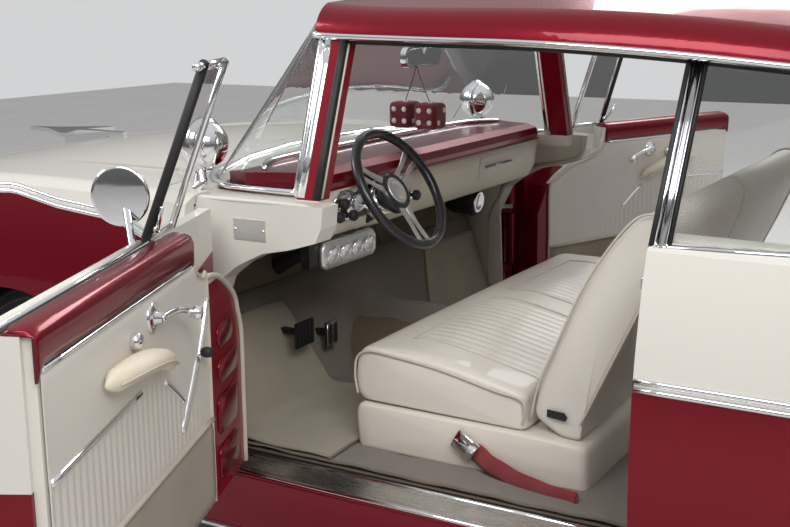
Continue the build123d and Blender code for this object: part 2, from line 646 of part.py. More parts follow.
# Rear shelf below the back glass, and the panel under the trunk lid
with BuildPart() as rear_deck:
    with BuildSketch(Plane.XZ.offset(-lid_front_y)):
        with BuildLine():
            ThreePointArc((-cowl_half + 1, 990), (0, 1003), (cowl_half - 1, 990))
            Polyline([(cowl_half - 1, 990), (cowl_half - 1, 960), (-cowl_half + 1, 960), (-cowl_half + 1, 990)])
        make_face()
    extrude(amount=lid_front_y - deck_front_y)
    for x in (-lid_hinge_x, lid_hinge_x):
        hinge_arm(x, lid_front_y + lid_gap + lid_pin_in, lid_hinge_z, -1)
save(rear_deck.part, "rear_deck")

with BuildPart() as rear_panel:
    block(-590, 590, 2470, 2500, hump_z - floor_t, 600)
    block(-590, 590, 2500, plate_y, 400, 634)
    for x in (-plate_bolts_x / 2, plate_bolts_x / 2):
        for z in (plate_z - plate_bolts_z / 2, plate_z + plate_bolts_z / 2):
            rod((x, plate_y + 1, z), (x, plate_y - plate_bolt_depth, z), plate_bolt_r, mode=Mode.SUBTRACT)
save(rear_panel.part, "rear_panel")

# Front structure: inner fenders, radiator wall, nose panel and lower valance
with BuildPart() as front_structure:
    for side in (1, -1):
        x0, x1 = sorted((side * 430, side * 443))
        block(x0, x1, -2440, firewall_y - panel, 405, 900)
        rod((side * 430, axle_front_y, tyre_r), (side * 880, axle_front_y, tyre_r), tub_r + tub_wall)
        rod((side * 443, axle_front_y, tyre_r), (side * 881, axle_front_y, tyre_r), tub_r,
            mode=Mode.SUBTRACT)
    block(-881, 881, -2300, -1240, -100, 404, mode=Mode.SUBTRACT)
    block(-881, 881, firewall_y - panel, -1240, -100, 1000, mode=Mode.SUBTRACT)
    block(-600, 600, -2465, -2440, 405, 860)
    block(-240, 240, -2466, -2439, 470, 800, mode=Mode.SUBTRACT)
    with BuildSketch(Plane.YZ.offset(-606)):
        with BuildLine():
            Polyline([(-2440, 830), (-2440, 860), (-2490, 880), (-2524, 880), (-2572, 810), (-2585, 745),
                      (-2560, 745), (-2530, 800), (-2500, 830)], close=True)
        make_face()
    extrude(amount=1212)
    with BuildSketch(Plane.YZ.offset(-606)):
        with BuildLine():
            Polyline([(-2440, 405), (-2440, 430), (-2540, 430), (-2560, 480), (-2585, 480), (-2565, 405)],
                     close=True)
        make_face()
    extrude(amount=1212)
save(front_structure.part, "front_structure")

# Grille: surround and egg-crate mesh
grille_half, grille_low, grille_high, grille_y = 604.0, 480.0, 745.0, -2572.0
with BuildPart() as grille:
    block(-grille_half, grille_half, grille_y, grille_y + 30, grille_low, grille_high)
    block(-grille_half + 22, grille_half - 22, grille_y - 1, grille_y + 31, grille_low + 22, grille_high - 22,
          mode=Mode.SUBTRACT)
    columns, rows = 22, 5
    for i in range(1, columns):
        x = -grille_half + 11 + i * (2 * grille_half - 22) / columns
        block(x - 2, x + 2, grille_y + 6, grille_y + 26, grille_low + 10, grille_high - 10)
    for i in range(1, rows):
        z = grille_low + 11 + i * (grille_high - grille_low - 22) / rows
        block(-grille_half + 10, grille_half - 10, grille_y + 6, grille_y + 26, z - 2.5, z + 2.5)
    block(-420, 420, grille_y - 14, grille_y + 8, 596, 622)
save(grille.part, "grille")

# Lamps
with BuildPart() as headlamps:
    for side in (1, -1):
        centre = (side * lamp_x, front_y + 59, lamp_z)
        with BuildSketch(Plane(origin=centre, x_dir=(1, 0, 0), z_dir=(0, -1, 0))):
            Circle(lamp_r - 1)
        extrude(amount=64)
        with BuildSketch(Plane(origin=(side * lamp_x, front_y - 5, lamp_z), x_dir=(1, 0, 0), z_dir=(0, -1, 0))):
            Circle(lamp_r - 10)
        extrude(amount=22, taper=50)
save(headlamps.part, "headlamps")

with BuildPart() as tail_lamps:
    for side in (1, -1):
        with BuildSketch(Plane(origin=(side * 800, rear_y + 0.3, 760), x_dir=(1, 0, 0), z_dir=(0, 1, 0))):
            Circle(72)
        extrude(amount=40, taper=20)
save(tail_lamps.part, "tail_lamps")

# Bumpers: bowed bars with turned ends and two guards
def bumper(y_face, depth, z0, z1, name, facing):
    """A bowed bar; facing is the sign of Y of its outer side."""
    bow, half = 45.0, 930.0
    outer = [(half, 120), (half - 20, 60), (half - 75, bow)]
    inner_line = [(half - 25, 125), (half - 45, 88), (half - 90, bow + depth)]
    with BuildPart() as bar:
        with BuildSketch(Plane.XY.offset(z0)):
            with BuildLine():
                for line, middle in ((outer, 0), (inner_line, depth)):
                    right = [(x, y_face - facing * back) for x, back in line]
                    left = [(-x, y) for x, y in right]
                    ThreePointArc(*right)
                    ThreePointArc(*left)
                    ThreePointArc(right[-1], (0, y_face - facing * middle), left[-1])
                for flip in (1, -1):
                    Line((flip * half, y_face - facing * 120), (flip * (half - 25), y_face - facing * 125))
            make_face()
        extrude(amount=z1 - z0)
        for side in (1, -1):
            y0, y1 = sorted((y_face + facing * 16, y_face - facing * 22))
            block(side * 330 - 40, side * 330 + 40, y0, y1, z0 - 25, z1 + 75)
            y0, y1 = sorted((y_face - facing * (depth - 1), y_face - facing * 50))
            block(side * mount_x - 24, side * mount_x + 24, y0, y1, 330, 385)
    save(bar.part, name)


bumper(-2650, 26, 300, 415, "front_bumper", -1)
bumper(2650, 26, 300, 415, "rear_bumper", 1)

# Windshield: wrapped sheet between its base and header lines
ws_base = ((764, -873), (757, -1100), (640, -1245), (0, -1330))
ws_head = ((594, -873), (592, -880), (560, -888), (0, -902))


def glass_ring(z, line, rearward):
    """Plan outline of a wrapped sheet: side, corner and end arcs, then back along its inner face."""
    (ax, ay), (bx, by), (cx, cy), (dx, dy) = line
    with BuildSketch(Plane.XY.offset(z)) as ring:
        with BuildLine():
            for t in (0, glass_t):
                a, b = (ax - t, ay), (bx - t, by + rearward * t * 0.2)
                c, d = (cx - t * 0.4, cy + rearward * t), (0, dy + rearward * t)
                mid = ((b[0] + c[0]) / 2 - rearward * 0.12 * (c[1] - b[1]),
                       (b[1] + c[1]) / 2 + rearward * 0.12 * (c[0] - b[0]))
                for flip in (1, -1):
                    Line((flip * a[0], a[1]), (flip * b[0], b[1]))
                    ThreePointArc((flip * b[0], b[1]), (flip * mid[0], mid[1]), (flip * c[0], c[1]))
                ThreePointArc(c, d, (-c[0], c[1]))
            for flip in (1, -1):
                Line((flip * ax, ay), (flip * (ax - glass_t), ay))
        make_face()
    return ring.sketch


def arch_region(y0, y1, half, side_z, crown_z, above):
    """Everything above or below an arch across the car, taken away from the piece."""
    far = 2000 if above else 800
    with BuildSketch(Plane.XZ.offset(-y1)) as region:
        with BuildLine():
            ThreePointArc((-half, side_z), (0, crown_z), (half, side_z))
            Polyline([(half, side_z), (half, far), (-half, far), (-half, side_z)])
        make_face()
    extrude(region.sketch, amount=y1 - y0, mode=Mode.SUBTRACT)


with BuildPart() as windshield:
    loft([glass_ring(985, ws_base, 1), glass_ring(1480, ws_head, 1)], ruled=True)
    arch_region(-1400, -700, cowl_half, cowl_side_z + seat_gap, cowl_crown_z + seat_gap, above=False)
    arch_region(-1400, -700, 603, 1370, 1442, above=True)
save((windshield.part - roof.part).solids().sort_by(SortBy.VOLUME)[-1], "windshield")

bg_base = ((742, 965), (735, 1010), (640, 1090), (0, 1190))
bg_head = ((560, 575), (557, 580), (530, 590), (0, 600))
with BuildPart() as rear_glass:
    loft([glass_ring(985, bg_base, -1), glass_ring(1420, bg_head, -1)], ruled=True)
    arch_region(500, 1300, cowl_half - 1, 990 + seat_gap, 1003 + seat_gap, above=False)
save((rear_glass.part - roof.part).solids().sort_by(SortBy.VOLUME)[-1], "rear_glass")

# Dashboard: padded top, face and lower edge, cut for the steering column
dash_outline = [(-1139, 1040), (-1100, 1046), (-925, 1046), (-893, 1034), (-886, 1014), (-892, 1000), (-904, 993),
                (-912, 900), (-930, 868), (-960, 858), (-1139, 880)]
tilt = radians(wheel_tilt)
axis_dir = Vector(0, cos(tilt), sin(tilt))
hub = Vector(wheel_x, wheel_y, wheel_z) - axis_dir * hub_back
column_foot = hub - axis_dir * 440
with BuildPart() as dashboard:
    side_shape(dash_outline, -ledge_x + 1, ledge_x - 1)
    for side in (1, -1):
        with Locations((side * 1000, -870, 950)):
            Cylinder(330, 400, mode=Mode.SUBTRACT)
        plan_shape([(side * 688, -1150), (side * 748, -1150), (side * 748, -1025)], 1001, 1060,
                   mode=Mode.SUBTRACT)
    rod(tuple(hub), tuple(column_foot), column_r + 8, mode=Mode.SUBTRACT)
    block(wheel_x - 34, wheel_x + 34, -1210, -860, 850, 935, mode=Mode.SUBTRACT)
    block(440, 660, -950, -925, 800, 866)
save(dashboard.part, "dashboard")

with BuildPart() as column:
    rod(tuple(hub - axis_dir * seat_gap), tuple(column_foot), column_r)
    rod(tuple(hub + axis_dir * 18), tuple(hub - axis_dir * 20), wheel_shaft_r)
    rod(tuple(hub - axis_dir * 40), tuple(hub - axis_dir * 110), column_r + 7)
save((column.part - floor.part - cowl.part).solids().sort_by(SortBy.VOLUME)[-1], "steering_column")

# Steering wheel: ring, three slotted spokes and hub, in the tilted plane of the rim
wheel_plane = Plane(origin=(wheel_x, wheel_y, wheel_z), x_dir=(1, 0, 0), z_dir=axis_dir)
with BuildPart(wheel_plane) as wheel:
    Torus(wheel_ring_r, wheel_grip_r)
    with Locations((0, 0, -hub_back + 20)):
        Cylinder(46, 40)
        Cylinder(wheel_shaft_r + run_clear, 42, mode=Mode.SUBTRACT)
    with Locations((0, 0, -hub_back + 32)):
        Cylinder(30, 14)
    for angle in (30, 150, 270):
        with BuildSketch(wheel_plane.offset(-hub_back + 26)) as spoke:
            with Locations(Rotation(0, 0, angle)):
                with Locations((104, 0)):
                    Rectangle(124, 46)
                with Locations((108, 0)):
                    SlotOverall(74, 14, mode=Mode.SUBTRACT)
        extrude(spoke.sketch, amount=6)
save(wheel.part, "steering_wheel")

# Pedals hung from the toe board
with BuildPart() as pedals:
    for x, y, z, w, reach in ((455, -1085, 560, 84, -1175), (300, -1100, 520, 52, -1162)):
        block(x - w / 2, x + w / 2, y - 8, y, z - 35, z + 35)
        block(x - 8, x + 8, reach, y - 7, z - 8, z + 8)
save(pedals.part - floor.part - cowl.part, "pedals")

# Seats
with BuildPart() as seat_base:
    side_shape([(-791, floor_z), (-791, base_z), (-200, base_z - 10), (-176, floor_z)],
               -seat_half - 5, seat_half + 5)
    block(-tunnel_half - 10, tunnel_half + 10, -800, -170, 300, base_z - 20, mode=Mode.SUBTRACT)
    block(-seat_half + 30, seat_half - 30, -770, -220, 340, base_z - 25, mode=Mode.SUBTRACT)
    side_shape([(-791, base_z - 21), (-791, base_z), (-200, base_z - 10), (-200, base_z - 31)],
               -seat_half - 5, seat_half + 5)
save(seat_base.part - floor.part, "front_seat_base")

with BuildPart() as cushion:
    side_shape([(-800, base_z + seat_gap), (seat_front_y, 540), (-806, 590), (-780, 612), (-345, 532), (-330, 500),
                (-330, base_z - 7.5 + seat_gap)], -seat_half, seat_half)
save(cushion.part, "front_seat_cushion")

back_outline = [(-322, 505), (-306, 585), (-258, 703), (-206, 824), (-150, 920), (-100, 985), (-62, 1012),
                (-28, 1010), (-6, 980), (-30, 900), (-66, 808), (-140, 644), (-200, 510), (-203, 461), (-250, 461.2)]
with BuildPart() as seatback:
    side_shape(back_outline, seat_split / 2, 640)
save_pair(seatback.part, "front_seatback")

with BuildPart() as rear_seat:
    side_shape([(350, hump_z), (330, 480), (335, 560), (380, 590), (760, 560), (775, hump_z)], -640, 640)
    side_shape([(772, 575), (786, 520), (888, 540), (892, 930), (870, 955), (845, 950), (820, 900)], -640, 640)
save(rear_seat.part - floor.part, "rear_seat")

# Vent windows on the doors: front post, top rail, division bar and pane, leaning in with the cabin side
vent_base_x, vent_head_x = 874.0, 735.0
vent_head_z = 1338.0
post_base_y, post_head_y = -848.0, -842.0
bar_base_y, bar_head_y = -690.0, -700.0
with BuildPart() as vent_window:
    post_head, bar_head = (vent_head_x, post_head_y, vent_head_z), (vent_head_x, bar_head_y, vent_head_z)
    rod((vent_base_x, post_base_y, belt_z - 12), post_head, 8)
    rod((vent_base_x, bar_base_y, belt_z - 12), bar_head, 9)
    rod(post_head, bar_head, 8)
    for head in (post_head, bar_head):
        with Locations(head):
            Sphere(10.5)
    with BuildSketch(Plane.XY.offset(belt_z - 1)) as sill:
        with Locations((vent_base_x, (post_base_y + bar_base_y) / 2)):
            Rectangle(glass_t, bar_base_y - post_base_y)
    with BuildSketch(Plane.XY.offset(vent_head_z)) as head:
        with Locations((vent_head_x, (post_head_y + bar_head_y) / 2)):
            Rectangle(glass_t, bar_head_y - post_head_y)
    loft([sill.sketch, head.sketch], ruled=True)
save_pair(opened(vent_window.part - door.part - trim.part), "vent_window")

# Fixed quarter windows: a leaning pane with its front bar
with BuildPart() as quarter_window:
    with BuildSketch(Plane.XY.offset(belt_z)) as sill:
        with BuildLine():
            Polyline([(870, 30), (864, 30), (846, 612), (852, 612)], close=True)
        make_face()
    with BuildSketch(Plane.XY.offset(1334)) as top:
        with BuildLine():
            Polyline([(672, 30), (666, 30), (668, 246), (674, 246)], close=True)
        make_face()
    loft([sill.sketch, top.sketch], ruled=True)
    rod((867, 30, belt_z), (669, 30, 1334), 9)
quarter_glass = (quarter_window.part - quarter.part - roof.part).solids().sort_by(SortBy.VOLUME)[-1]
save_pair(quarter_glass, "quarter_window")

# Mirrors, spotlights and hood ornament
with BuildPart() as inside_mirror:
    with BuildSketch(Plane.XZ.offset(960)):
        with Locations((0, 1300)):
            RectangleRounded(210, 58, 25)
    extrude(amount=18)
    rod((0, -968, 1300), (0, -893, 1456), 6)
save(inside_mirror.part - roof.part, "inside_mirror")

with BuildPart() as door_mirror:
    rod((872, -630, belt_z - 8), (915, -712, 1060), 8)
    with BuildSketch(Plane(origin=(920, -700, 1078), x_dir=(1, 0, 0), z_dir=(0, 1, 0))):
        Circle(60)
    extrude(amount=-22, taper=25)
save(opened(door_mirror.part - door.part), "door_mirror")

with BuildPart() as spotlights:
    for side in (1, -1):
        rod((side * 800, -1165, 1004), (side * 765, -1165, 1090), 9)
        with Locations((side * 760, -1165, 1113)):
            Sphere(62)
            Cylinder(68, 14, rotation=(90, 0, 0))
save(spotlights.part - cowl_body - fender.part - mirror(fender.part, about=Plane.YZ), "spotlights")

with BuildPart() as ornament:
    with BuildSketch(Plane.XY.offset(1010)):
        with BuildLine():
            Polyline([(0, -2600), (26, -2480), (120, -2330), (120, -2300), (22, -2340), (10, -2140), (-10, -2140),
                      (-22, -2340), (-120, -2300), (-120, -2330), (-26, -2480)], close=True)
        make_face()
    extrude(amount=14)
    block(-9, 9, -2420, -2220, 960, 1012)
save((ornament.part - hood.part).solids().sort_by(SortBy.VOLUME)[-1], "hood_ornament")

with BuildPart() as dice:
    for x, y in ((40, -1000), (62, -905)):
        with Locations((x, y, 1135)):
            Box(74, 74, 74)
    fillet(dice.edges(), 14)
save(dice.part, "dice")
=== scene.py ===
import math

import bmesh
import bpy
from mathutils import Matrix, Vector
from mathutils.bvhtree import BVHTree


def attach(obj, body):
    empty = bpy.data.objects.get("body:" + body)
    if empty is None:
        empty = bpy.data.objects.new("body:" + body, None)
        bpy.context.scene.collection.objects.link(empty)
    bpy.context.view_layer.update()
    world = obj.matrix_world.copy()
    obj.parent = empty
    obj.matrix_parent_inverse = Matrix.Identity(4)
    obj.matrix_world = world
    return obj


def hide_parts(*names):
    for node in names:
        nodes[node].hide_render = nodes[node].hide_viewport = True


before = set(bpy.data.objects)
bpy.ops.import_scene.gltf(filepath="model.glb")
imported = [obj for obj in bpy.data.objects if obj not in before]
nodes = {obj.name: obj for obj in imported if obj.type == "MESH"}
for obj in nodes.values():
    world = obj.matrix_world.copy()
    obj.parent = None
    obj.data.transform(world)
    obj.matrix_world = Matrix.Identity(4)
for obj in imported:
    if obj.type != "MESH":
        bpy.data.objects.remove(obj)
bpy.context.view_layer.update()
MM = 0.001

# Places taken over from the part, in mm
HINGE_X, HINGE_Y, DOOR_OPEN = 926.0, -1100.0, 68.0
TRIM_X, BELT_Z = 794.0, 985.0
FLOOR_Z, TOE_Y, TOE_SLOPE = 345.0, -1100.0, 415 / 140
GLASS_FOOT_X, GLASS_HEAD_X, GLASS_RISE = 764.0, 594.0, 495.0
WHEEL_CENTRE = Vector((380.0, -822.0, 975.0))
WHEEL_TILT = math.radians(31.8)
RING_R, GRIP_R, HUB_BACK = 165.0, 13.0, 42.0
AXLE_Z, AXLE_FRONT_Y, AXLE_REAR_Y = 355.5, -1700.0, 1310.0
TRACK_FRONT, TRACK_REAR = 740.0, 750.0
SEAT_HALF = 655.0
DRIP = [(642, -905, 1378), (650, -847, 1373), (668, -600, 1368), (678, -300, 1362), (681, -20, 1346),
        (676, 250, 1322), (655, 450, 1302), (640, 600, 1285)]
DICE = ((40, -1000, 1135), (62, -905, 1135))
DIE_HALF = 35.0
SIDES = (("left", 1), ("right", -1))

# The door's lining: where it starts behind the hinge on each side, and the door's upper front edge
LINING_START = {1: 272.0, -1: 62.0}
LINING_LOW, LINING_HIGH, LINING_REAR = 372, 928, 1082
DOOR_EDGE = [(-6, 690), (31, 752), (48, 790), (102, 831), (176, 869), (248, 884), (330, 908), (349, 946),
             (400, 1048)]

# Height of the side strip at each Y, front to rear: cream above it, dark red below
STRIP = [(-2600, 838), (-2440, 880), (-2300, 915), (-2100, 955), (-1900, 982), (-1703, 993), (-1542, 966),
         (-1338, 949), (-1242, 915), (-1100, 882), (-800, 826), (-400, 772), (15, 738), (600, 736),
         (1500, 742), (2600, 748)]

# Linear colours
CREAM = (0.66, 0.635, 0.575)
RED = (0.19, 0.002, 0.011)
VINYL = (0.70, 0.665, 0.60)
TAUPE = (0.205, 0.158, 0.108)
RED_METAL = 0.55

# Slot names of the record, handed along with the new pieces
BRIGHT = {"slot": "bright_chrome"}
TRIM = {"slot": "door_trim_vinyl"}
SEAT = {"slot": "seat_vinyl"}
BODY_RED = {"slot": "body_red"}
PEDAL = {"slot": "pedal_rubber"}
FLOOR = {"slot": "floor_paint"}


# ---- Materials -------------------------------------------------------------


class Shader:
    """A node material built step by step around one Principled BSDF."""

    def __init__(self, name, color, roughness, metallic=0.0):
        self.mat = bpy.data.materials.new(name)
        self.mat.use_nodes = True
        self.tree = self.mat.node_tree
        self.bsdf = self.tree.nodes["Principled BSDF"]
        self.bsdf.inputs["Base Color"].default_value = (*color, 1)
        self.bsdf.inputs["Roughness"].default_value = roughness
        self.bsdf.inputs["Metallic"].default_value = metallic
        self.coords = self.node("ShaderNodeTexCoord")
        self.mat.diffuse_color = (*color, 1)

    def node(self, kind, **settings):
        made = self.tree.nodes.new(kind)
        for key, value in settings.items():
            setattr(made, key, value)
        return made

    def link(self, a, b):
        self.tree.links.new(a, b)

    def set(self, **sockets):
        for key, value in sockets.items():
            self.bsdf.inputs[key.replace("_", " ")].default_value = value
        return self

    def noise(self, scale, detail=3.0, stretch=None):
        tex = self.node("ShaderNodeTexNoise")
        tex.inputs["Scale"].default_value = scale
        tex.inputs["Detail"].default_value = detail
        place = self.coords.outputs["Object"]
        if stretch:
            mapping = self.node("ShaderNodeMapping")
            mapping.inputs["Scale"].default_value = stretch
            self.link(place, mapping.inputs["Vector"])
            place = mapping.outputs["Vector"]
        self.link(place, tex.inputs["Vector"])
        return tex.outputs["Fac"]

    def cells(self, scale):
        tex = self.node("ShaderNodeTexVoronoi")
        tex.inputs["Scale"].default_value = scale
        self.link(self.coords.outputs["Object"], tex.inputs["Vector"])
        return tex.outputs["Distance"]

    def mix(self, factor, a, b):
        """Colour a where factor is 0 and b where it is 1; each is a colour or a socket."""
        made = self.node("ShaderNodeMix", data_type="RGBA")
        self.link(factor, made.inputs["Factor"])
        for key, value in (("A", a), ("B", b)):
            socket = next(s for s in made.inputs if s.name == key and s.type == "RGBA")
            if isinstance(value, tuple):
                socket.default_value = (*value, 1)
            else:
                self.link(value, socket)
        return next(s for s in made.outputs if s.type == "RGBA")

    def ramp(self, factor, low, high, out_low=0.0, out_high=1.0):
        made = self.node("ShaderNodeMapRange")
        for key, value in (("From Min", low), ("From Max", high), ("To Min", out_low), ("To Max", out_high)):
            made.inputs[key].default_value = value
        self.link(factor, made.inputs["Value"])
        return made.outputs["Result"]

    def math(self, operation, a, b=0.0):
        made = self.node("ShaderNodeMath", operation=operation)
        for i, value in enumerate((a, b)):
            if isinstance(value, (int, float)):
                made.inputs[i].default_value = value
            else:
                self.link(value, made.inputs[i])
        return made.outputs[0]

    def axes(self, kind="Object"):
        made = self.node("ShaderNodeSeparateXYZ")
        self.link(self.coords.outputs[kind], made.inputs[0])
        return made.outputs

    def color(self, socket):
        self.link(socket, self.bsdf.inputs["Base Color"])
        return self

    def rough(self, socket):
        self.link(socket, self.bsdf.inputs["Roughness"])
        return self

    def metal(self, socket):
        self.link(socket, self.bsdf.inputs["Metallic"])
        return self

    def bump(self, socket, distance, strength=1.0):
        made = self.node("ShaderNodeBump")
        made.inputs["Strength"].default_value = strength
        made.inputs["Distance"].default_value = distance
        self.link(socket, made.inputs["Height"])
        self.link(made.outputs["Normal"], self.bsdf.inputs["Normal"])
        return self


def darker(color, k):
    return tuple(c * k for c in color)


def grained(name, color, roughness, scale, depth, vary=0.08, **sockets):
    """Leathercloth or moulded plastic: fine cells, slow changes of tone and handling marks."""
    s = Shader(name, color, roughness)
    s.color(s.mix(s.ramp(s.noise(2.5, 5), 0.35, 0.7), darker(color, 1 - vary), color))
    s.rough(s.ramp(s.noise(7.5), 0.3, 0.7, roughness - 0.07, roughness + 0.08))
    s.bump(s.math("ADD", s.cells(scale), s.noise(scale * 0.4)), depth, 0.6)
    return s.set(**sockets)


def clear_coat(s):
    """The slight waves and the lacquer of car paint."""
    s.bump(s.noise(38, 2), 0.0004, 0.25)
    return s.set(Coat_Weight=0.45, Coat_Roughness=0.03, Specular_IOR_Level=0.12)


def paint(name, color, metallic, roughness=0.3):
    s = Shader(name, color, roughness, metallic)
    flake = s.ramp(s.noise(2600, 1), 0.45, 0.75)
    s.color(s.mix(flake, darker(color, 0.86), tuple(min(1, c * 1.16) for c in color)))
    return clear_coat(s)


def chrome_shader(name, color=(0.84, 0.85, 0.87), roughness=0.05):
    s = Shader(name, color, roughness, 1.0)
    s.rough(s.ramp(s.noise(9, 4), 0.3, 0.8, roughness, roughness + 0.07))
    return s.bump(s.noise(22, 2), 0.0005, 0.3)


def brushed(name, color, roughness, stretch):
    s = Shader(name, color, roughness, 1.0)
    grain = s.noise(1, 3, stretch)
    s.rough(s.ramp(grain, 0.3, 0.7, roughness - 0.08, roughness + 0.1))
    return s.bump(grain, 0.00008, 0.5)


def carpet_shader(name, color):
    s = Shader(name, color, 1.0)
    tone = s.mix(s.ramp(s.noise(4, 4), 0.35, 0.65), darker(color, 0.72), color)
    s.color(s.mix(s.ramp(s.noise(900, 1), 0.3, 0.7), darker(color, 0.6), tone))
    s.bump(s.noise(1100, 2), 0.0025, 0.9)
    return s.set(Sheen_Weight=0.35, Sheen_Roughness=0.6, Specular_IOR_Level=0.1)


def glass_shader(name, color):
    """Sheet glass that lets the picture through and keeps its mirror shine."""
    s = Shader(name, color, 0.0)
    s.set(Transmission_Weight=1.0, IOR=1.12, Specular_IOR_Level=0.5)
    return s.rough(s.ramp(s.noise(3), 0.2, 0.9, 0.0, 0.02))


def tyre_shader(name, color):
    """Rubber with ribs round the tread."""
    s = Shader(name, color, 0.62)
    ribs = s.ramp(s.math("SINE", s.math("MULTIPLY", s.axes()[0], 2 * math.pi / 0.019)), -0.75, -0.35)
    s.bump(s.math("ADD", ribs, s.math("MULTIPLY", s.noise(160), 0.15)), 0.003, 0.9)
    return s.color(s.mix(s.ramp(s.noise(14, 4), 0.35, 0.7), (0.012, 0.012, 0.013), (0.03, 0.029, 0.028)))


def webbing(name, color):
    s = Shader(name, color, 0.6)
    weave = s.node("ShaderNodeTexWave", wave_type="BANDS", bands_direction="DIAGONAL")
    weave.inputs["Scale"].default_value = 260
    s.link(s.coords.outputs["Object"], weave.inputs["Vector"])
    s.color(s.mix(weave.outputs["Fac"], darker(color, 0.7), color))
    return s.bump(weave.outputs["Fac"], 0.0006, 0.7).set(Sheen_Weight=0.3)


SHADERS = {
    "cream": paint("cream_paint", CREAM, 0.0, 0.3),
    "red": paint("red_paint", RED, RED_METAL, 0.28),
    "vinyl": grained("cream_vinyl", VINYL, 0.42, 900, 0.0003, Coat_Weight=0.12),
    "vinyl_dark": grained("cream_vinyl_shaded", (0.70, 0.65, 0.56), 0.5, 900, 0.0003),
    "seat": grained("seat_vinyl", (0.73, 0.685, 0.61), 0.4, 700, 0.00035, Coat_Weight=0.15),
    "piping": grained("piping_vinyl", (0.55, 0.50, 0.41), 0.4, 1200, 0.0002),
    "pad": grained("armrest_vinyl", (0.76, 0.69, 0.54), 0.42, 800, 0.0003),
    "chrome": chrome_shader("chrome"),
    "dark_chrome": chrome_shader("shaded_chrome", (0.42, 0.42, 0.43), 0.12),
    "brushed": brushed("brushed_alloy", (0.86, 0.87, 0.88), 0.42, (40, 900, 900)),
    "tread": brushed("sill_alloy", (0.70, 0.69, 0.67), 0.26, (900, 30, 900)),
    "black": grained("black_rubber", (0.012, 0.012, 0.013), 0.55, 700, 0.0003, vary=0.3),
    "grip": grained("wheel_grip", (0.014, 0.015, 0.019), 0.3, 1400, 0.00015, vary=0.2, Coat_Weight=0.3),
    "carpet": carpet_shader("taupe_carpet", TAUPE),
    "kick_carpet": carpet_shader("pale_carpet", (0.46, 0.39, 0.27)),
    "red_webbing": webbing("belt_sleeve", (0.26, 0.008, 0.014)),
    "plush": carpet_shader("dice_plush", (0.30, 0.006, 0.028)),
    "white": grained("white_felt", (0.85, 0.85, 0.83), 0.8, 600, 0.0002),
    "dial": grained("dial_face", (0.75, 0.76, 0.78), 0.4, 300, 0.0001),
    "needle": grained("needle_orange", (0.6, 0.08, 0.02), 0.4, 300, 0.0001),
    "glass": glass_shader("sheet_glass", (0.965, 0.985, 0.975)),
    "lamp_glass": glass_shader("lamp_glass", (0.95, 0.96, 0.97)),
    "red_glass": grained("tail_lens", (0.42, 0.006, 0.008), 0.12, 200, 0.0002, Coat_Weight=1.0),
    "mirror": chrome_shader("mirror_silver", (0.93, 0.93, 0.94), 0.01),
    "tyre": tyre_shader("tyre_rubber", (0.018, 0.018, 0.019)),
    "seat_cloth": grained("skirt_vinyl", (0.73, 0.675, 0.59), 0.45, 800, 0.0003),
}
M = {key: shader.mat for key, shader in SHADERS.items()}


# ---- Mesh helpers: points and sizes are in mm, and pieces ride on the body unless said ----


def circle(steps):
    """Cosines and sines round a full turn."""
    return [(math.cos(t), math.sin(t)) for t in (2 * math.pi * j / steps for j in range(steps))]


def finish_mesh(name, bm, material, body, smooth=True, slot=None):
    bmesh.ops.recalc_face_normals(bm, faces=bm.faces)
    data = bpy.data.meshes.new(name)
    bm.to_mesh(data)
    bm.free()
    obj = bpy.data.objects.new(name, data)
    bpy.context.scene.collection.objects.link(obj)
    data.materials.append(M[material])
    for poly in data.polygons:
        poly.use_smooth = smooth
    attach(obj, body)
    return obj


def grid_mesh(name, rows, material, body="body", closed_u=False, closed_v=False, caps=False, **kw):
    """A quad mesh through rows of points."""
    bm = bmesh.new()
    verts = [[bm.verts.new(Vector(p) * MM) for p in row] for row in rows]
    nu, nv = len(rows), len(rows[0])
    for i in range(nu if closed_u else nu - 1):
        for j in range(nv if closed_v else nv - 1):
            i2, j2 = (i + 1) % nu, (j + 1) % nv
            bm.faces.new((verts[i][j], verts[i2][j], verts[i2][j2], verts[i][j2]))
    if caps:
        bm.faces.new(verts[0])
        bm.faces.new(verts[-1][::-1])
    return finish_mesh(name, bm, material, body, **kw)


def direction(pts, i):
    return (pts[min(i + 1, len(pts) - 1)] - pts[max(i - 1, 0)]).normalized()


def frames_along(pts):
    """Directions and two side vectors at each point, carried along without twisting."""
    out = []
    side = None
    for i, p in enumerate(pts):
        d = direction(pts, i)
        if side is None:
            side = d.cross(Vector((0, 0, 1)) if abs(d.z) < 0.9 else Vector((0, 1, 0))).normalized()
        side = (side - d * side.dot(d)).normalized()
        out.append((p, d, side, d.cross(side)))
    return out


def smooth_path(points, per=6):
    """Catmull-Rom points through a short list."""
    p = [Vector(q) for q in points]
    p = [2 * p[0] - p[1]] + p + [2 * p[-1] - p[-2]]
    out = []
    for i in range(1, len(p) - 2):
        for k in range(per):
            t = k / per
            out.append(0.5 * ((2 * p[i]) + (p[i + 1] - p[i - 1]) * t
                              + (2 * p[i - 1] - 5 * p[i] + 4 * p[i + 1] - p[i + 2]) * t * t
                              + (3 * p[i] - p[i - 1] - 3 * p[i + 1] + p[i + 2]) * t ** 3))
    return out + [p[-2]]


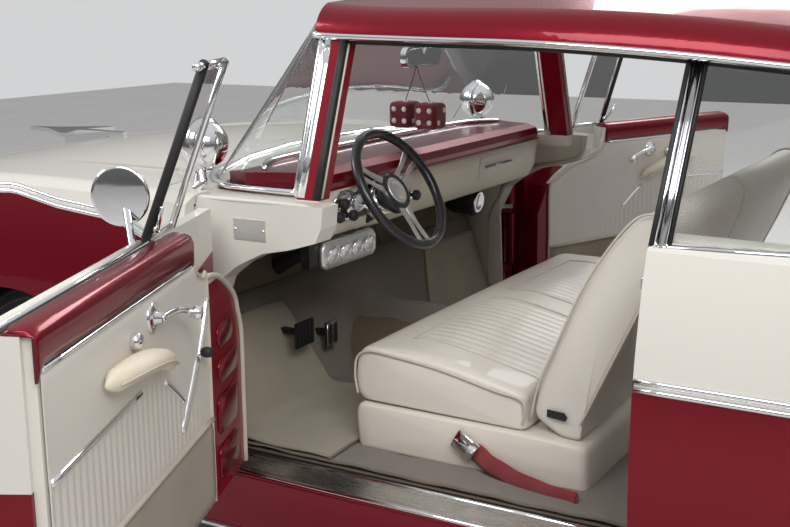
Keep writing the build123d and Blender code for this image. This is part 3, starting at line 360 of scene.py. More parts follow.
def tube(name, points, radius, material, body="body", steps=10, flat=1.0, curved=False, **kw):
    """A round or flattened bar with rounded ends along points."""
    spine = frames_along(smooth_path(points) if curved else [Vector(p) for p in points])
    last = len(spine) - 1
    ends = [(0, 0.02, -0.5), (0, 0.6, -0.35)], [(last, 0.6, 0.35), (last, 0.02, 0.5)]
    rows = []
    for i, k, shift in ends[0] + [(i, 1.0, 0.0) for i in range(last + 1)] + ends[1]:
        p, d, a, b = spine[i]
        rows.append([p + d * (shift * radius) + (a * c + b * s * flat) * radius * k for c, s in circle(steps)])
    return grid_mesh(name, rows, material, body, closed_v=True, caps=True, **kw)


def moulding(name, points, normals, width, height, material, body="body", **kw):
    """A half-round bar lying on a surface: width across, height out along the normals."""
    profile = [(-0.5, -0.35), (-0.48, 0.25), (-0.25, 0.85), (0, 1.0), (0.25, 0.85), (0.48, 0.25), (0.5, -0.35)]
    rows = []
    pts = [Vector(p) for p in points]
    for i, p in enumerate(pts):
        n = Vector(normals[i] if isinstance(normals, list) else normals).normalized()
        across = direction(pts, i).cross(n).normalized()
        rows.append([p + across * u * width + n * v * height for u, v in profile])
    return grid_mesh(name, rows, material, body, closed_v=True, caps=True, **kw)


def lathe(name, profile, origin, axis, material, body="body", steps=40, **kw):
    """A profile of (radius, height) turned about an axis through origin."""
    axis = Vector(axis).normalized()
    side = axis.orthogonal().normalized()
    other = axis.cross(side)
    rows = [[Vector(origin) + axis * h + (side * c + other * s) * max(r, 0.05) for c, s in circle(steps)]
            for r, h in profile]
    return grid_mesh(name, rows, material, body, closed_v=True, caps=True, **kw)


def rounded_slab(name, outline, normal, thick, bevel, material, body="body", **kw):
    """A flat plate with bevelled rims, its thickness along the normal."""
    bm = bmesh.new()
    n = Vector(normal).normalized()
    pts = [Vector(p) for p in outline]
    centre = sum(pts, Vector()) / len(pts)
    rows = []
    for inset, h in ((0, 0), (0, thick - bevel), (bevel * 0.35, thick - bevel * 0.3), (bevel, thick)):
        rows.append([bm.verts.new((p + (centre - p).normalized() * inset + n * h) * MM) for p in pts])
    count = len(pts)
    for a, b in zip(rows, rows[1:]):
        for j in range(count):
            bm.faces.new((a[j], a[(j + 1) % count], b[(j + 1) % count], b[j]))
    bm.faces.new(rows[0])
    bm.faces.new(rows[-1])
    return finish_mesh(name, bm, material, body, **kw)


def soft_box(name, xs, ys, zs, bevel, material, side=1, **kw):
    """A box with rolled edges from its ranges in X, Y and Z, or its mirror image."""
    bm = bmesh.new()
    bmesh.ops.create_cube(bm, size=1)
    ends = [sorted((side * xs[0], side * xs[1])), ys, zs]
    lo, hi = Vector([e[0] for e in ends]) * MM, Vector([e[1] for e in ends]) * MM
    for v in bm.verts:
        v.co = Vector([lo[i] + (v.co[i] + 0.5) * (hi[i] - lo[i]) for i in range(3)])
    bmesh.ops.bevel(bm, geom=bm.edges[:], offset=bevel * MM, segments=4, profile=0.5, affect="EDGES")
    return finish_mesh(name, bm, material, "body", **kw)


def thicken(obj, depth):
    mod = obj.modifiers.new("thickness", "SOLIDIFY")
    mod.thickness = depth
    mod.offset = -1


def surface_of(obj):
    """Ray target of a mesh, in the row frame."""
    return BVHTree.FromPolygons([v.co.copy() for v in obj.data.vertices],
                                [tuple(p.vertices) for p in obj.data.polygons])


def rounded_outline(points, radius, per=5):
    """A closed outline with each corner turned by an arc-like blend."""
    pts = [Vector((p[0], p[1])) for p in points]
    out = []
    for i, p in enumerate(pts):
        a, b = pts[i - 1], pts[(i + 1) % len(pts)]
        start = p + (a - p).normalized() * min(radius[i], (a - p).length * 0.48)
        end = p + (b - p).normalized() * min(radius[i], (b - p).length * 0.48)
        for k in range(per + 1):
            t = k / per
            out.append(start * (1 - t) ** 2 + p * 2 * t * (1 - t) + end * t * t)
    return out


# ---- Door frame: points are given with the driver's door shut --------------


def door_point(x, y, z, side=1):
    """A point of the shut driver's door, where it stands with the doors open, or its mirror image."""
    c, s = math.cos(math.radians(-DOOR_OPEN)), math.sin(math.radians(-DOOR_OPEN))
    dx, dy = x - HINGE_X, y - HINGE_Y
    return Vector((side * (HINGE_X + dx * c - dy * s), HINGE_Y + dx * s + dy * c, z))


def inner(along, z, out=0.0, side=1):
    """A point on the door's lining: along is from the hinge, out is into the cabin."""
    return door_point(TRIM_X - out, HINGE_Y + along, z, side)


def door_normal(side=1):
    return (door_point(TRIM_X - 1, 0, 0, side) - door_point(TRIM_X, 0, 0, side)).normalized()


def shut_y(s, x, y, side):
    """Where a point of an open door has its Y when the door is shut, in shader nodes."""
    c, n = math.cos(math.radians(DOOR_OPEN)), math.sin(math.radians(DOOR_OPEN))
    px = s.math("SUBTRACT", s.math("MULTIPLY", x, side), HINGE_X * MM)
    py = s.math("SUBTRACT", y, HINGE_Y * MM)
    return s.math("ADD", s.math("ADD", s.math("MULTIPLY", px, n), s.math("MULTIPLY", py, c)), HINGE_Y * MM)


# ---- Paint zones on the CAD panels ------------------------------------------


def strip_z(y):
    for (y0, z0), (y1, z1) in zip(STRIP, STRIP[1:]):
        if y0 <= y <= y1:
            return z0 + (z1 - z0) * (y - y0) / (y1 - y0)
    return STRIP[0][1] if y < STRIP[0][0] else STRIP[-1][1]


def paint_zones(name):
    return clear_coat(Shader(name, CREAM, 0.28))


def trim_material(name, side):
    """Painted metal by the hinges, leathercloth behind it."""
    s = paint_zones(name)
    x, y, z = s.axes()[:3]
    ahead = s.math("LESS_THAN", shut_y(s, x, y, side), (HINGE_Y + LINING_START[side] + 4) * MM)
    s.color(s.mix(s.math("MULTIPLY", ahead, s.math("LESS_THAN", z, 0.86)), VINYL, RED))
    return s.mat


def two_tone(name, door_side=0):
    """Cream above the side strip and dark red below it, followed also on an open door."""
    s = paint_zones(name)
    x, y, z = s.axes()[:3]
    if door_side:
        y = shut_y(s, x, y, door_side)
    curve = s.node("ShaderNodeFloatCurve")
    line = curve.mapping.curves[0]
    span = STRIP[-1][0] - STRIP[0][0]
    for yy, zz in STRIP[1:-1]:
        line.points.new((yy - STRIP[0][0]) / span, zz / 2000)
    line.points[0].location = (0, STRIP[0][1] / 2000)
    line.points[-1].location = (1, STRIP[-1][1] / 2000)
    for p in line.points:
        p.handle_type = "VECTOR"
    curve.mapping.update()
    s.link(s.ramp(y, STRIP[0][0] * MM, STRIP[-1][0] * MM), curve.inputs["Value"])
    above = s.math("GREATER_THAN", z, s.math("MULTIPLY", curve.outputs[0], 2.0))
    s.color(s.mix(above, RED, CREAM))
    s.metal(s.math("MULTIPLY", s.math("SUBTRACT", 1.0, above), RED_METAL))
    return s.mat


def cowl_material():
    """Cream outside, with dark red hinge pillars and windshield pillars."""
    s = paint_zones("cowl_paint")
    x, y, z = s.axes()[:3]
    low = s.math("LESS_THAN", z, 0.700)
    post = s.math("MULTIPLY", s.math("GREATER_THAN", z, 1.0015), s.math("GREATER_THAN", y, -0.880))
    hinge_zone = s.math("MULTIPLY", s.math("LESS_THAN", y, -1.126), s.math("LESS_THAN", z, 0.90))
    red = s.math("MAXIMUM", s.math("MAXIMUM", low, post), hinge_zone)
    red = s.math("MULTIPLY", red, s.math("GREATER_THAN", s.math("ABSOLUTE", x), 0.60))
    s.color(s.mix(red, CREAM, RED))
    return s.mat


def floor_material():
    """Carpet on top, black paint underneath."""
    s = Shader("floor_zones", TAUPE, 0.95)
    up = s.math("GREATER_THAN", s.axes("Normal")[2], 0.15)
    pile = s.mix(s.ramp(s.noise(900, 1), 0.3, 0.7), darker(TAUPE, 0.6), TAUPE)
    tone = s.mix(s.ramp(s.noise(4, 4), 0.35, 0.65), darker(TAUPE, 0.75), pile)
    s.color(s.mix(up, (0.02, 0.02, 0.02), tone))
    return s.bump(s.noise(1100, 2), 0.002, 0.8).mat


def red_with(s, zone, color):
    """Dark red metallic paint, and another colour where zone is 1."""
    s.color(s.mix(zone, RED, color))
    s.metal(s.math("MULTIPLY", s.math("SUBTRACT", 1.0, zone), RED_METAL))
    return s.mat


def dashboard_material():
    """Dark red top, black lower edge."""
    s = paint_zones("dashboard_paint")
    return red_with(s, s.math("LESS_THAN", s.axes()[2], 0.885), (0.014, 0.014, 0.015))


def roof_material():
    """Dark red outside, pale headlining inside."""
    s = paint("roof_paint", RED, RED_METAL, 0.26)
    return red_with(s, s.math("LESS_THAN", s.axes("Normal")[2], -0.3), (0.62, 0.58, 0.50))


def set_material(obj, material):
    obj.data.materials.clear()
    obj.data.materials.append(material)


def dress_cad():
    """Materials of the CAD pieces that stay visible."""
    plain = {
        "cream": "hood trunk_lid rear_deck",
        "red": "rear_panel",
        "chrome": "grille front_bumper rear_bumper spotlights hood_ornament inside_mirror door_mirror",
        "black": "pedals steering_column front_structure chassis_frame front_suspension rear_axle "
                 "knuckle_left knuckle_right fuel_tank engine",
        "dark_chrome": "exhaust rim_front_left rim_front_right rim_rear_left rim_rear_right",
        "tyre": "tyre_front_left tyre_front_right tyre_rear_left tyre_rear_right",
        "glass": "windshield rear_glass quarter_window_left quarter_window_right "
                 "vent_window_left vent_window_right",
        "lamp_glass": "headlamps",
        "red_glass": "tail_lamps",
        "seat_cloth": "front_seat_base",
        "seat": "front_seat_cushion front_seatback_left front_seatback_right rear_seat",
        "grip": "steering_wheel",
        "plush": "dice",
    }
    for key, names in plain.items():
        for node in names.split():
            set_material(nodes[node], M[key])
    for name, side in SIDES:
        for panel in ("fender", "quarter"):
            set_material(nodes[f"{panel}_{name}"], two_tone(f"{panel}_{name}_paint"))
        set_material(nodes[f"door_{name}"], two_tone(f"door_{name}_paint", side))
        set_material(nodes[f"door_trim_{name}"], trim_material(f"door_trim_{name}_zones", side))
    set_material(nodes["cowl"], cowl_material())
    for node in ("floor_pan", "toe_board"):
        set_material(nodes[node], floor_material())
    set_material(nodes["roof"], roof_material())
    set_material(nodes["dashboard"], dashboard_material())


# ---- Camera, floor and light ------------------------------------------------


def camera():
    """The photograph's viewpoint, from its solved yaw, pitch and roll."""
    data = bpy.data.cameras.new("camera")
    cam = bpy.data.objects.new("camera", data)
    bpy.context.scene.collection.objects.link(cam)
    yaw, pitch, roll = 1.03996, 0.21926, -0.00824
    f = Vector((-math.sin(yaw) * math.cos(pitch), -math.cos(yaw) * math.cos(pitch), -math.sin(pitch)))
    r = f.cross(Vector((0, 0, 1))).normalized()
    u = r.cross(f)
    r2 = r * math.cos(roll) + u * math.sin(roll)
    u2 = -r * math.sin(roll) + u * math.cos(roll)
    cam.matrix_world = Matrix((
        (r2.x, u2.x, -f.x, 3.0512), (r2.y, u2.y, -f.y, 0.7288), (r2.z, u2.z, -f.z, 1.4598), (0, 0, 0, 1)))
    data.sensor_width = 36.0
    data.lens = 53.81
    data.clip_start, data.clip_end = 0.05, 60
    bpy.context.scene.camera = cam


def ground():
    bm = bmesh.new()
    bmesh.ops.create_grid(bm, x_segments=1, y_segments=1, size=14)
    data = bpy.data.meshes.new("floor")
    bm.to_mesh(data)
    bm.free()
    obj = bpy.data.objects.new("floor", data)
    bpy.context.scene.collection.objects.link(obj)
    s = Shader("pale_floor", (0.62, 0.61, 0.59), 0.55)
    s.color(s.mix(s.ramp(s.noise(1.5), 0.3, 0.7), (0.60, 0.59, 0.57), (0.64, 0.63, 0.61)))
    data.materials.append(s.mat)


def studio():
    """A world that is bright above and dark at the horizon, plain grey to the camera."""
    world = bpy.data.worlds.new("studio")
    bpy.context.scene.world = world
    world.use_nodes = True
    tree = world.node_tree
    new, link = tree.nodes.new, tree.links.new
    split = new("ShaderNodeSeparateXYZ")
    link(new("ShaderNodeTexCoord").outputs["Generated"], split.inputs[0])
    height = new("ShaderNodeMapRange")
    height.inputs["From Min"].default_value = -1.0
    link(split.outputs["Z"], height.inputs["Value"])
    ramp = new("ShaderNodeValToRGB")
    stops = ramp.color_ramp.elements
    stops[0].position, stops[0].color = 0.0, (0.16, 0.155, 0.15, 1)
    stops[1].position, stops[1].color = 1.0, (0.92, 0.93, 0.95, 1)
    for position, level in ((0.47, 0.13), (0.54, 0.20), (0.64, 0.48), (0.80, 0.82)):
        stops.new(position).color = (level, level, level * 1.02, 1)
    link(height.outputs["Result"], ramp.inputs["Fac"])
    seen = new("ShaderNodeMix")
    seen.data_type = "RGBA"
    sockets = [k for k in seen.inputs if k.type == "RGBA"]
    link(new("ShaderNodeLightPath").outputs["Is Camera Ray"], seen.inputs["Factor"])
    link(ramp.outputs["Color"], sockets[0])
    sockets[1].default_value = (0.86, 0.87, 0.88, 1)
    back = tree.nodes["Background"]
    link([k for k in seen.outputs if k.type == "RGBA"][0], back.inputs["Color"])
    back.inputs["Strength"].default_value = 0.75

    for name, place, aim, size, power in (
            ("key", (4.2, 3.2, 4.6), (0, -0.4, 0.7), 3.2, 170), ("front", (2.5, -6.0, 4.0), (0, -1.2, 0.8), 3.0, 120),
            ("far", (-5.0, -1.0, 4.5), (0, 0, 0.8), 3.0, 120), ("cabin", (2.4, -0.5, 2.6), (0.3, -0.7, 0.6), 1.4, 22)):
        data = bpy.data.lights.new(name, "AREA")
        data.shape = "RECTANGLE"
        data.size, data.size_y, data.energy = size, size * 0.6, power
        lamp = bpy.data.objects.new(name, data)
        lamp.location = place
        lamp.rotation_mode = "QUATERNION"
        lamp.rotation_quaternion = (Vector(aim) - Vector(place)).to_track_quat("-Z", "Y")
        bpy.context.scene.collection.objects.link(lamp)
    bpy.context.scene.view_settings.view_transform = "Standard"


# ---- Doors -------------------------------------------------------------------


def lining_top(along):
    """The lining's upper edge, a margin below the door's own edge."""
    for (a0, z0), (a1, z1) in zip(DOOR_EDGE, DOOR_EDGE[1:]):
        if a0 <= along <= a1:
            return min(LINING_HIGH, z0 + (z1 - z0) * (along - a0) / (a1 - a0) - 10)
    return LINING_HIGH


def armrest(t):
    """Along, height and reach of the armrest's middle line."""
    return (872 - 320 * t, 836 - 56 * t + 24 * math.sin(math.pi * t),
            10 + 50 * math.sin(math.pi * (0.08 + 0.84 * t)) ** 0.8)


def door_details(name, side):
    body = f"door_{name}"
    n = door_normal(side)
    start = LINING_START[side]

    def at(along, z, out=0.0):
        return inner(along, z, out, side)

    def bar(label, points, width, height, key="chrome"):
        pts = [at(*p) for p in points]
        moulding(f"door_{label}_{name}", smooth_path(pts, 5), n, width, height, key, body, **BRIGHT)

    # Garnish moulding: a rolled dark red top rail with turned-down ends
    profile = [(-46, 986), (-46, 994), (-32, 1000), (-10, 999), (4, 992), (9, 976), (8, 950), (6, 937),
               (0.5, 935), (0.5, 984)]
    rows = []
    for along, drop in ((358, 12), (364, 3), (376, 0), (500, 0), (720, 0), (900, 0), (1070, 0), (1080, 8),
                        (1091, 16), (1096, 22)):
        grow = 1.0 if drop < 4 else 1.05
        rows.append([at(along, z - (drop * 0.3 if z > 990 else 0) - (drop if z < 960 else 0), out * grow)
                     for out, z in profile])
    grid_mesh(f"door_garnish_{name}", rows, "red", body, closed_v=True, caps=True, **BODY_RED)
    bar("garnish_trim", [(374, 929, 3), (700, 929, 3), (1078, 929, 3)], 9, 5)
    # Outer belt moulding and the window slot
    for label, x, half, key in (("belt", 876, 9, "cream"), ("belt_strip", 858, 5, "chrome"), ("slot", 846, 6, "black")):
        pts = [door_point(x, HINGE_Y + a, BELT_Z + 2, side) for a in (430, 700, 1090)]
        moulding(f"door_{label}_{name}", pts, (0, 0, 1), half * 2, 7, key, body)
    # Lining: raised sheet with vertical pleats under the slanted strip
    rows = []
    for i in range(191):
        along = start + i * (LINING_REAR - start) / 190
        top = lining_top(along)
        strip = max(752 - 0.72 * max(0, 560 - along), 420)
        row = []
        for z in (LINING_LOW + (top - LINING_LOW) * j / 26 for j in range(27)):
            pleated = 585 < z < strip - 8 and along > 330
            row.append(at(along, z, 1.5 + (2.6 * abs(math.sin(math.pi * along / 26)) if pleated else 1.6)))
        rows.append(row)
    thicken(grid_mesh(f"door_lining_{name}", rows, "vinyl", body, **TRIM), 0.0012)
    # Carpeted foot of the lining
    rows = []
    for i in range(30):
        along = start + 2 + i * (1076 - start) / 29
        rows.append([at(along, 366 + 194 * j / 8, 6 if 0 < j < 8 else 2) for j in range(9)])
    thicken(grid_mesh(f"door_carpet_{name}", rows, "kick_carpet", body, **TRIM), 0.002)
    bar("carpet_piping", [(start, 562, 5), (600, 562, 5), (1080, 562, 5)], 11, 7, "piping")
    bar("strip_rear", [(1076, 748, 4), (900, 755, 4), (690, 762, 4)], 12, 6)
    bar("strip_front", [(563, 744, 4), (510, 708, 4), (458, 669, 4)], 11, 6)
    edge = [(start + 1, 368, 4), (start + 1, 620, 4), (start + 1, lining_top(start) - 6, 4)]
    edge += [(a, lining_top(a) - 3, 4) for a in (102, 176, 248, 300, 336, 352) if a > start + 20]
    bar("edge_piping", edge, 8, 5, "piping")
    if side > 0:
        # The driver's door shows strips, a check knob and a painted, ribbed panel by its hinges
        bar("strip_edge", [(277, 840, 4), (312, 780, 4), (352, 724, 4)], 12, 8)
        bar("strip_flat", [(352, 726, 4), (405, 668, 4), (468, 602, 4)], 24, 6, "brushed")
        lathe(f"door_knob_{name}", [(0, 0), (9, 2), (12, 12), (10, 24), (0, 28)], at(340, 736, 8), n, "black", body)
        lace = [at(*p) for p in ((13, 362, 2), (13, 560, 2), (14, 690, 2), (40, 752, 2), (58, 788, 2),
                                 (112, 829, 2), (186, 866, 2), (258, 882, 2))]
        tube(f"door_lace_{name}", lace, 6.5, "piping", body, curved=True, **TRIM)
        for k, (a0, a1, z0, z1) in enumerate(((70, 215, 392, 470), (70, 215, 500, 588), (60, 205, 618, 672),
                                              (90, 205, 700, 752))):
            outline = [at(a, z, 0.5) for a, z in ((a0 + 14, z0), (a1 - 14, z0), (a1, z0 + 14), (a1, z1 - 14),
                                                  (a1 - 14, z1), (a0 + 14, z1), (a0, z1 - 14), (a0, z0 + 14))]
            rounded_slab(f"door_panel_{name}_{k}", outline, n, 5, 4, "red", body, **BODY_RED)
    # Armrest: a crowned pad
    rows = []
    for t in (i / 32 for i in range(33)):
        along, z, reach = armrest(t)
        end = min(1.0, 0.25 + 9 * min(t, 1 - t))
        rows.append([at(along, z + 21 * end * s, 3 + reach * 0.5 * (1 + c * end)) for c, s in circle(18)])
    grid_mesh(f"door_armrest_{name}", rows, "pad", body, closed_v=True, caps=True, **TRIM)
    pts = [at(a, z - 3, 4 + r) for a, z, r in (armrest(k / 20) for k in range(1, 20))]
    tube(f"door_armrest_piping_{name}", pts, 2.6, "piping", body, steps=6)

    def turned(label, profile, along, z, out):
        lathe(f"door_{label}_{name}", profile, at(along, z, out), n, "chrome", body)

    turned("armrest_end", [(0, 0), (15, 1), (17, 10), (13, 18), (0, 21)], 713, 868, 3)
    # Window crank
    turned("crank_boss", [(29, 0), (30, 5), (22, 9), (12, 13), (10, 24), (0, 26)], 611, 884, 2)
    pts = [at(611, 884, 24), at(560, 884, 31), at(505, 872, 33), at(468, 858, 32)]
    tube(f"door_crank_arm_{name}", pts, 7.5, "chrome", body, curved=True)
    turned("crank_knob", [(0, 0), (10, 1), (14, 10), (13, 24), (0, 30)], 466, 857, 30)


def vent_details(name, side):
    """Post, bar and latch round the vent pane, which leans in from the belt to the drip rail."""
    body = f"door_{name}"
    post, bar = (-848, -842), (-690, -700)
    foot_x, head_x, foot_z, head_z = 874.0, 735.0, 976.0, 1338.0

    def at(line, t, out=0.0):
        return door_point(foot_x + (head_x - foot_x) * t + out, line[0] + (line[1] - line[0]) * t,
                          foot_z + (head_z - foot_z) * t, side)

    for label, points, radius, key in (
            ("post", [at(post, t) for t in (0, 0.33, 0.66, 1)], 9.2, "chrome"),
            ("bar", [at(bar, t) for t in (0, 0.5, 1.02)], 10.5, "black"),
            ("bar_trim", [at((-704, -714), t, -2) for t in (0.02, 0.5, 0.98)], 4, "chrome"),
            ("top", [at(post, 1.0), at(bar, 1.0)], 9.2, "chrome"),
            ("head", [at(bar, 1.0), at((-640, -655), 1.0)], 9, "chrome"),
            ("sill", [at(post, 0.045), at(bar, 0.045)], 6, "chrome")):
        tube(f"vent_{label}_{name}", points, radius, key, body)
    lathe(f"vent_latch_{name}", [(9, 0), (9, 5), (5, 8), (0, 9)], at(bar, 0.10, -11), door_normal(side), "chrome", body)
    pts = [at(bar, 0.10, -18), at((-672, -690), 0.16, -20), at((-655, -690), 0.24, -20)]
    tube(f"vent_latch_arm_{name}", pts, 4, "chrome", body)


# ---- Cabin -------------------------------------------------------------------


def sills():
    for name, side in SIDES:
        rows = []
        for y in (-1112, -800, -400, 0, 16):
            row = []
            for t in (j / 60 for j in range(61)):
                rib = 1.6 * abs(math.sin(math.pi * t * 11)) if 0.22 < t < 0.78 else 0
                crown = 3.5 * (1 if t < 0.18 or t > 0.82 else 0.3)
                row.append((side * (792 + 114 * t), y, 336 + crown + rib))
            rows.append(row)
        thicken(grid_mesh(f"sill_plate_{name}", rows, "tread", **BRIGHT), 0.0015)
        for label, x in (("inner", 796), ("outer", 903)):
            pts = [(side * x, y, 337) for y in (-1113, -500, 17)]
            moulding(f"sill_edge_{label}_{name}", pts, (0, 0, 1), 13, 7, "chrome")
        pts = [(side * 912, y, 184) for y in (-1185, -500, 18)]
        moulding(f"rocker_strip_{name}", pts, (side, 0, 0), 16, 9, "chrome")
        soft_box(f"rocker_skin_{name}", (906, 914), (-1186, 18), (196, 331), 2, "red", side, **BODY_RED)


def floor_z(y):
    """The CAD floor's height: flat, then rising up the toe board."""
    return FLOOR_Z + max(0.0, TOE_Y - y) * TOE_SLOPE


def carpets():
    """Carpet over toe board, floor and tunnel, with soft waves, and a bound mat on each side."""
    rows = []
    for y in (-1212 + i * 1512 / 69 for i in range(70)):
        half, top = (170.0, 540.0) if y < -850 else (120.0, 446.0)
        row = []
        for x in (-780 + j * 1560 / 89 for j in range(90)):
            z = floor_z(y)
            if abs(x) < half + 40:
                z = max(z, FLOOR_Z + (top - FLOOR_Z + 8) * max(0.0, 1 - (abs(x) / (half + 14)) ** 2))
            wave = 2.2 * math.sin(y * 0.021 + x * 0.013) * math.sin(x * 0.017) + 1.2 * math.sin(y * 0.05)
            row.append((x, y, z + 7 + wave))
        rows.append(row)
    thicken(grid_mesh("front_carpet", rows, "carpet", **FLOOR), 0.004)
    for name, side in SIDES:
        rows = []
        for t in (i / 49 for i in range(50)):
            y = -1192 + t * 392
            inner_x = 205 + 210 * max(0.0, 1 - t * 1.6) ** 1.5
            fold = 12 * max(0.0, 1 - abs(y - TOE_Y) / 60) ** 2
            row = []
            for x in (inner_x + (776 - inner_x) * j / 39 for j in range(40)):
                wave = 2.0 * math.sin(y * 0.03 + x * 0.011) + 1.4 * math.sin(x * 0.028 - y * 0.01)
                row.append((side * x, y, floor_z(y) + 17 + fold + wave))
            rows.append(row)
        thicken(grid_mesh(f"floor_mat_{name}", rows, "kick_carpet", **FLOOR), 0.005)
        rim = [row[0] for row in rows] + rows[-1][1:]
        tube(f"floor_mat_edge_{name}", rim, 4.5, "carpet", steps=6)
    arch = [(170 * math.cos(a), -853, 352 + 198 * math.sin(a)) for a in (math.pi * k / 24 for k in range(1, 24))]
    tube("tunnel_binding", arch, 5, "black", steps=6)


def kick_panels():
    for name, side in SIDES:
        outline = [(side * 785, y, z) for y, z in ((-1228, 440), (-1110, 360), (-1060, 352), (-1075, 700),
                                                   (-1080, 860), (-1228, 930))]
        rounded_slab(f"kick_panel_{name}", outline, (-side, 0, 0), 7, 3, "vinyl", **TRIM)
        # Windlace along the door opening, clear of the shut door
        pts = [(side * 785, y, z) for y, z in ((-1122, 352), (-1124, 560), (-1117, 692), (-1081, 764), (-1062, 804),
                                               (-1007, 846), (-929, 884), (-855, 899), (-785, 921), (-768, 952),
                                               (-768, 998))]
        tube(f"windlace_{name}", pts, 8.5, "piping", curved=True, **TRIM)
        if side > 0:
            outline = [(852, y, z) for y, z in ((-1008, 905), (-914, 905), (-914, 957), (-1008, 957))]
            rounded_slab("bare_plate", outline, (1, 0, 0), 1.6, 0.6, "brushed", smooth=False, **BRIGHT)
            for y in (-1002, -920):
                lathe(f"plate_rivet_{abs(y)}", [(3.5, 0), (3.0, 1.5), (0, 2.2)], (853.4, y, 931), (1, 0, 0),
                      "chrome", steps=12)
        # Roll along the ledge below the windshield's corner
        pts = [(side * x, y, z) for x, y, z in ((846, -1112, 998), (848, -1000, 999), (846, -850, 999),
                                                (841, -786, 994))]
        tube(f"ledge_roll_{name}", pts, 6, "vinyl", curved=True, **TRIM)


def windshield_trim():
    run = [(764, -868), (763, -960), (757, -1100), (727, -1165), (690, -1208), (640, -1245), (480, -1292),
           (240, -1322), (0, -1332)]
    lean_in = GLASS_FOOT_X - GLASS_HEAD_X
    pts = []
    for side in (1, -1):
        for x, y in (run if side > 0 else run[::-1][1:]):
            cowl_z = 1005 + 47 * (1 - (x / 795) ** 2)
            t = (cowl_z - BELT_Z) / GLASS_RISE
            back = 428 * t * max(0.0, (1 - x / GLASS_FOOT_X)) if y < -1150 else 0.0
            pts.append((side * (x - lean_in * t * (x / GLASS_FOOT_X)), y + back, cowl_z + 3))
    tube("windshield_base_trim", pts, 12, "chrome", flat=0.6, **BRIGHT)
    zs = (1006, 1100, 1200, 1300, 1392)
    for name, side in SIDES:
        edge = [(side * (GLASS_FOOT_X - lean_in * (z - BELT_Z) / GLASS_RISE), -884, z) for z in zs]
        tube(f"windshield_side_trim_{name}", edge, 15, "chrome", **BRIGHT)
        for label, top, dx, dy, normal, width, height, key in (
                ("chrome", 1370, 23, -20, (side, 0, 0.35), 22, 4, "chrome"),
                ("seal", 1368, 22, 24, (side, 0.3, 0.35), 20, 9, "black"),
                ("lining", 1366, 12, 32, (0, 1, 0), 6, 4, "piping")):
            pts = [(side * (770 - 145 * (z - BELT_Z) / 399 + dx), -838 + dy, z) for z in zs[:-1] + (top,)]
            moulding(f"pillar_{label}_{name}", pts, normal, width, height, key)
    half = [(594, -884, 1384), (560, -893, 1416), (300, -905, 1444)]
    top = half + [(0, -908, 1452)] + [(-x, y, z) for x, y, z in half[::-1]]
    tube("windshield_head_trim", top, 11, "chrome", curved=True, flat=0.6, **BRIGHT)


def roof_trim():
    for name, side in SIDES:
        def rail(points, dx, dz):
            return smooth_path([(side * (x + dx), y, z + dz) for x, y, z in points], 6)

        moulding(f"drip_rail_{name}", rail(DRIP, 3, 4), (side, 0, 0.25), 17, 11, "chrome", **BRIGHT)
        moulding(f"roof_seal_{name}", rail(DRIP[:-1], -12, -4), (side * 0.4, 0, -1), 22, 9, "black")
        moulding(f"roof_lace_{name}", rail(DRIP[1:-1], -30, -3), (0, 0, -1), 14, 7, "piping")
        # Front edge of the quarter window, and its sill
        for label, y, dx, width, height, key in (
                ("seal", 24, 2, 14, 9, "black"), ("bead", 32, 4, 6, 11, "chrome"),
                ("channel", 44, 3, 18, 9, "dark_chrome"), ("rear_bead", 54, 4, 4, 9, "chrome"),
                ("rear_seal", 59, 3, 7, 7, "black")):
            pts = [(side * (868 - 200 * t + dx), y, 986 + 348 * t) for t in (0, 0.33, 0.66, 1.0)]
            moulding(f"quarter_{label}_{name}", pts, (side, 0, 0.5), width, height, key, **BRIGHT)
        pts = [(side * 870, 32, 990), (side * 860, 320, 996), (side * 848, 612, 1004)]
        tube(f"quarter_sill_{name}", pts, 7, "chrome", **BRIGHT)


def strip_layers(panel, name, body, ys, find):
    """Two chrome bars and the cream line between them, wherever find meets the skin."""
    for label, offset, width, height, key in (("main", 0, 13, 6, "chrome"), ("lower", -17, 13, 6, "chrome"),
                                              ("line", -8.5, 7, 2.5, "cream")):
        hits = [(hit / MM, normal) for hit, normal in (find(y, strip_z(y) + offset) for y in ys) if hit]
        if len(hits) > 3:
            moulding(f"{panel}_strip_{label}_{name}", [p for p, _ in hits], [n for _, n in hits], width, height, key,
                     body, **BRIGHT)


def side_strips():
    for name, side in SIDES:
        for panel, y0, y1 in (("fender", -2480, -1130), ("quarter", 24, 2560)):
            skin = surface_of(nodes[f"{panel}_{name}"])

            def from_outside(y, z):
                hit, normal = skin.ray_cast(Vector((side * 2.0, y * MM, z * MM)), Vector((-side, 0, 0)))[:2]
                return (hit, normal) if hit and abs(hit.x) > 0.8 else (None, None)

            strip_layers(panel, name, "body", [y0 + (y1 - y0) * i / 46 for i in range(47)], from_outside)
        # The same strip on the door's skin
        door = surface_of(nodes[f"door_{name}"])

        def from_door_side(y, z):
            return door.ray_cast(door_point(1400, y, z, side) * MM, door_normal(side))[:2]

        strip_layers("door", name, f"door_{name}", [-1112 + i * 1120 / 30 for i in range(31)], from_door_side)


def gauge(name, centre, axis, r):
    axis = Vector(axis).normalized()
    bezel = [(r * 0.86, 0), (r, 0), (r * 1.02, 3), (r * 0.97, 5), (r * 0.88, 4), (r * 0.86, 2)]
    lathe(f"{name}_bezel", bezel, centre, axis, "chrome", steps=28)
    lathe(f"{name}_face", [(r * 0.87, 0), (r * 0.87, 3.2), (0, 3.4)], centre, axis, "dial", steps=28)
    c = Vector(centre) + axis * 4
    tube(f"{name}_needle", [c + Vector((-r * 0.1, 0, -r * 0.1)), c + Vector((r * 0.45, 0, r * 0.4))],
         max(0.8, r * 0.035), "needle", steps=6)


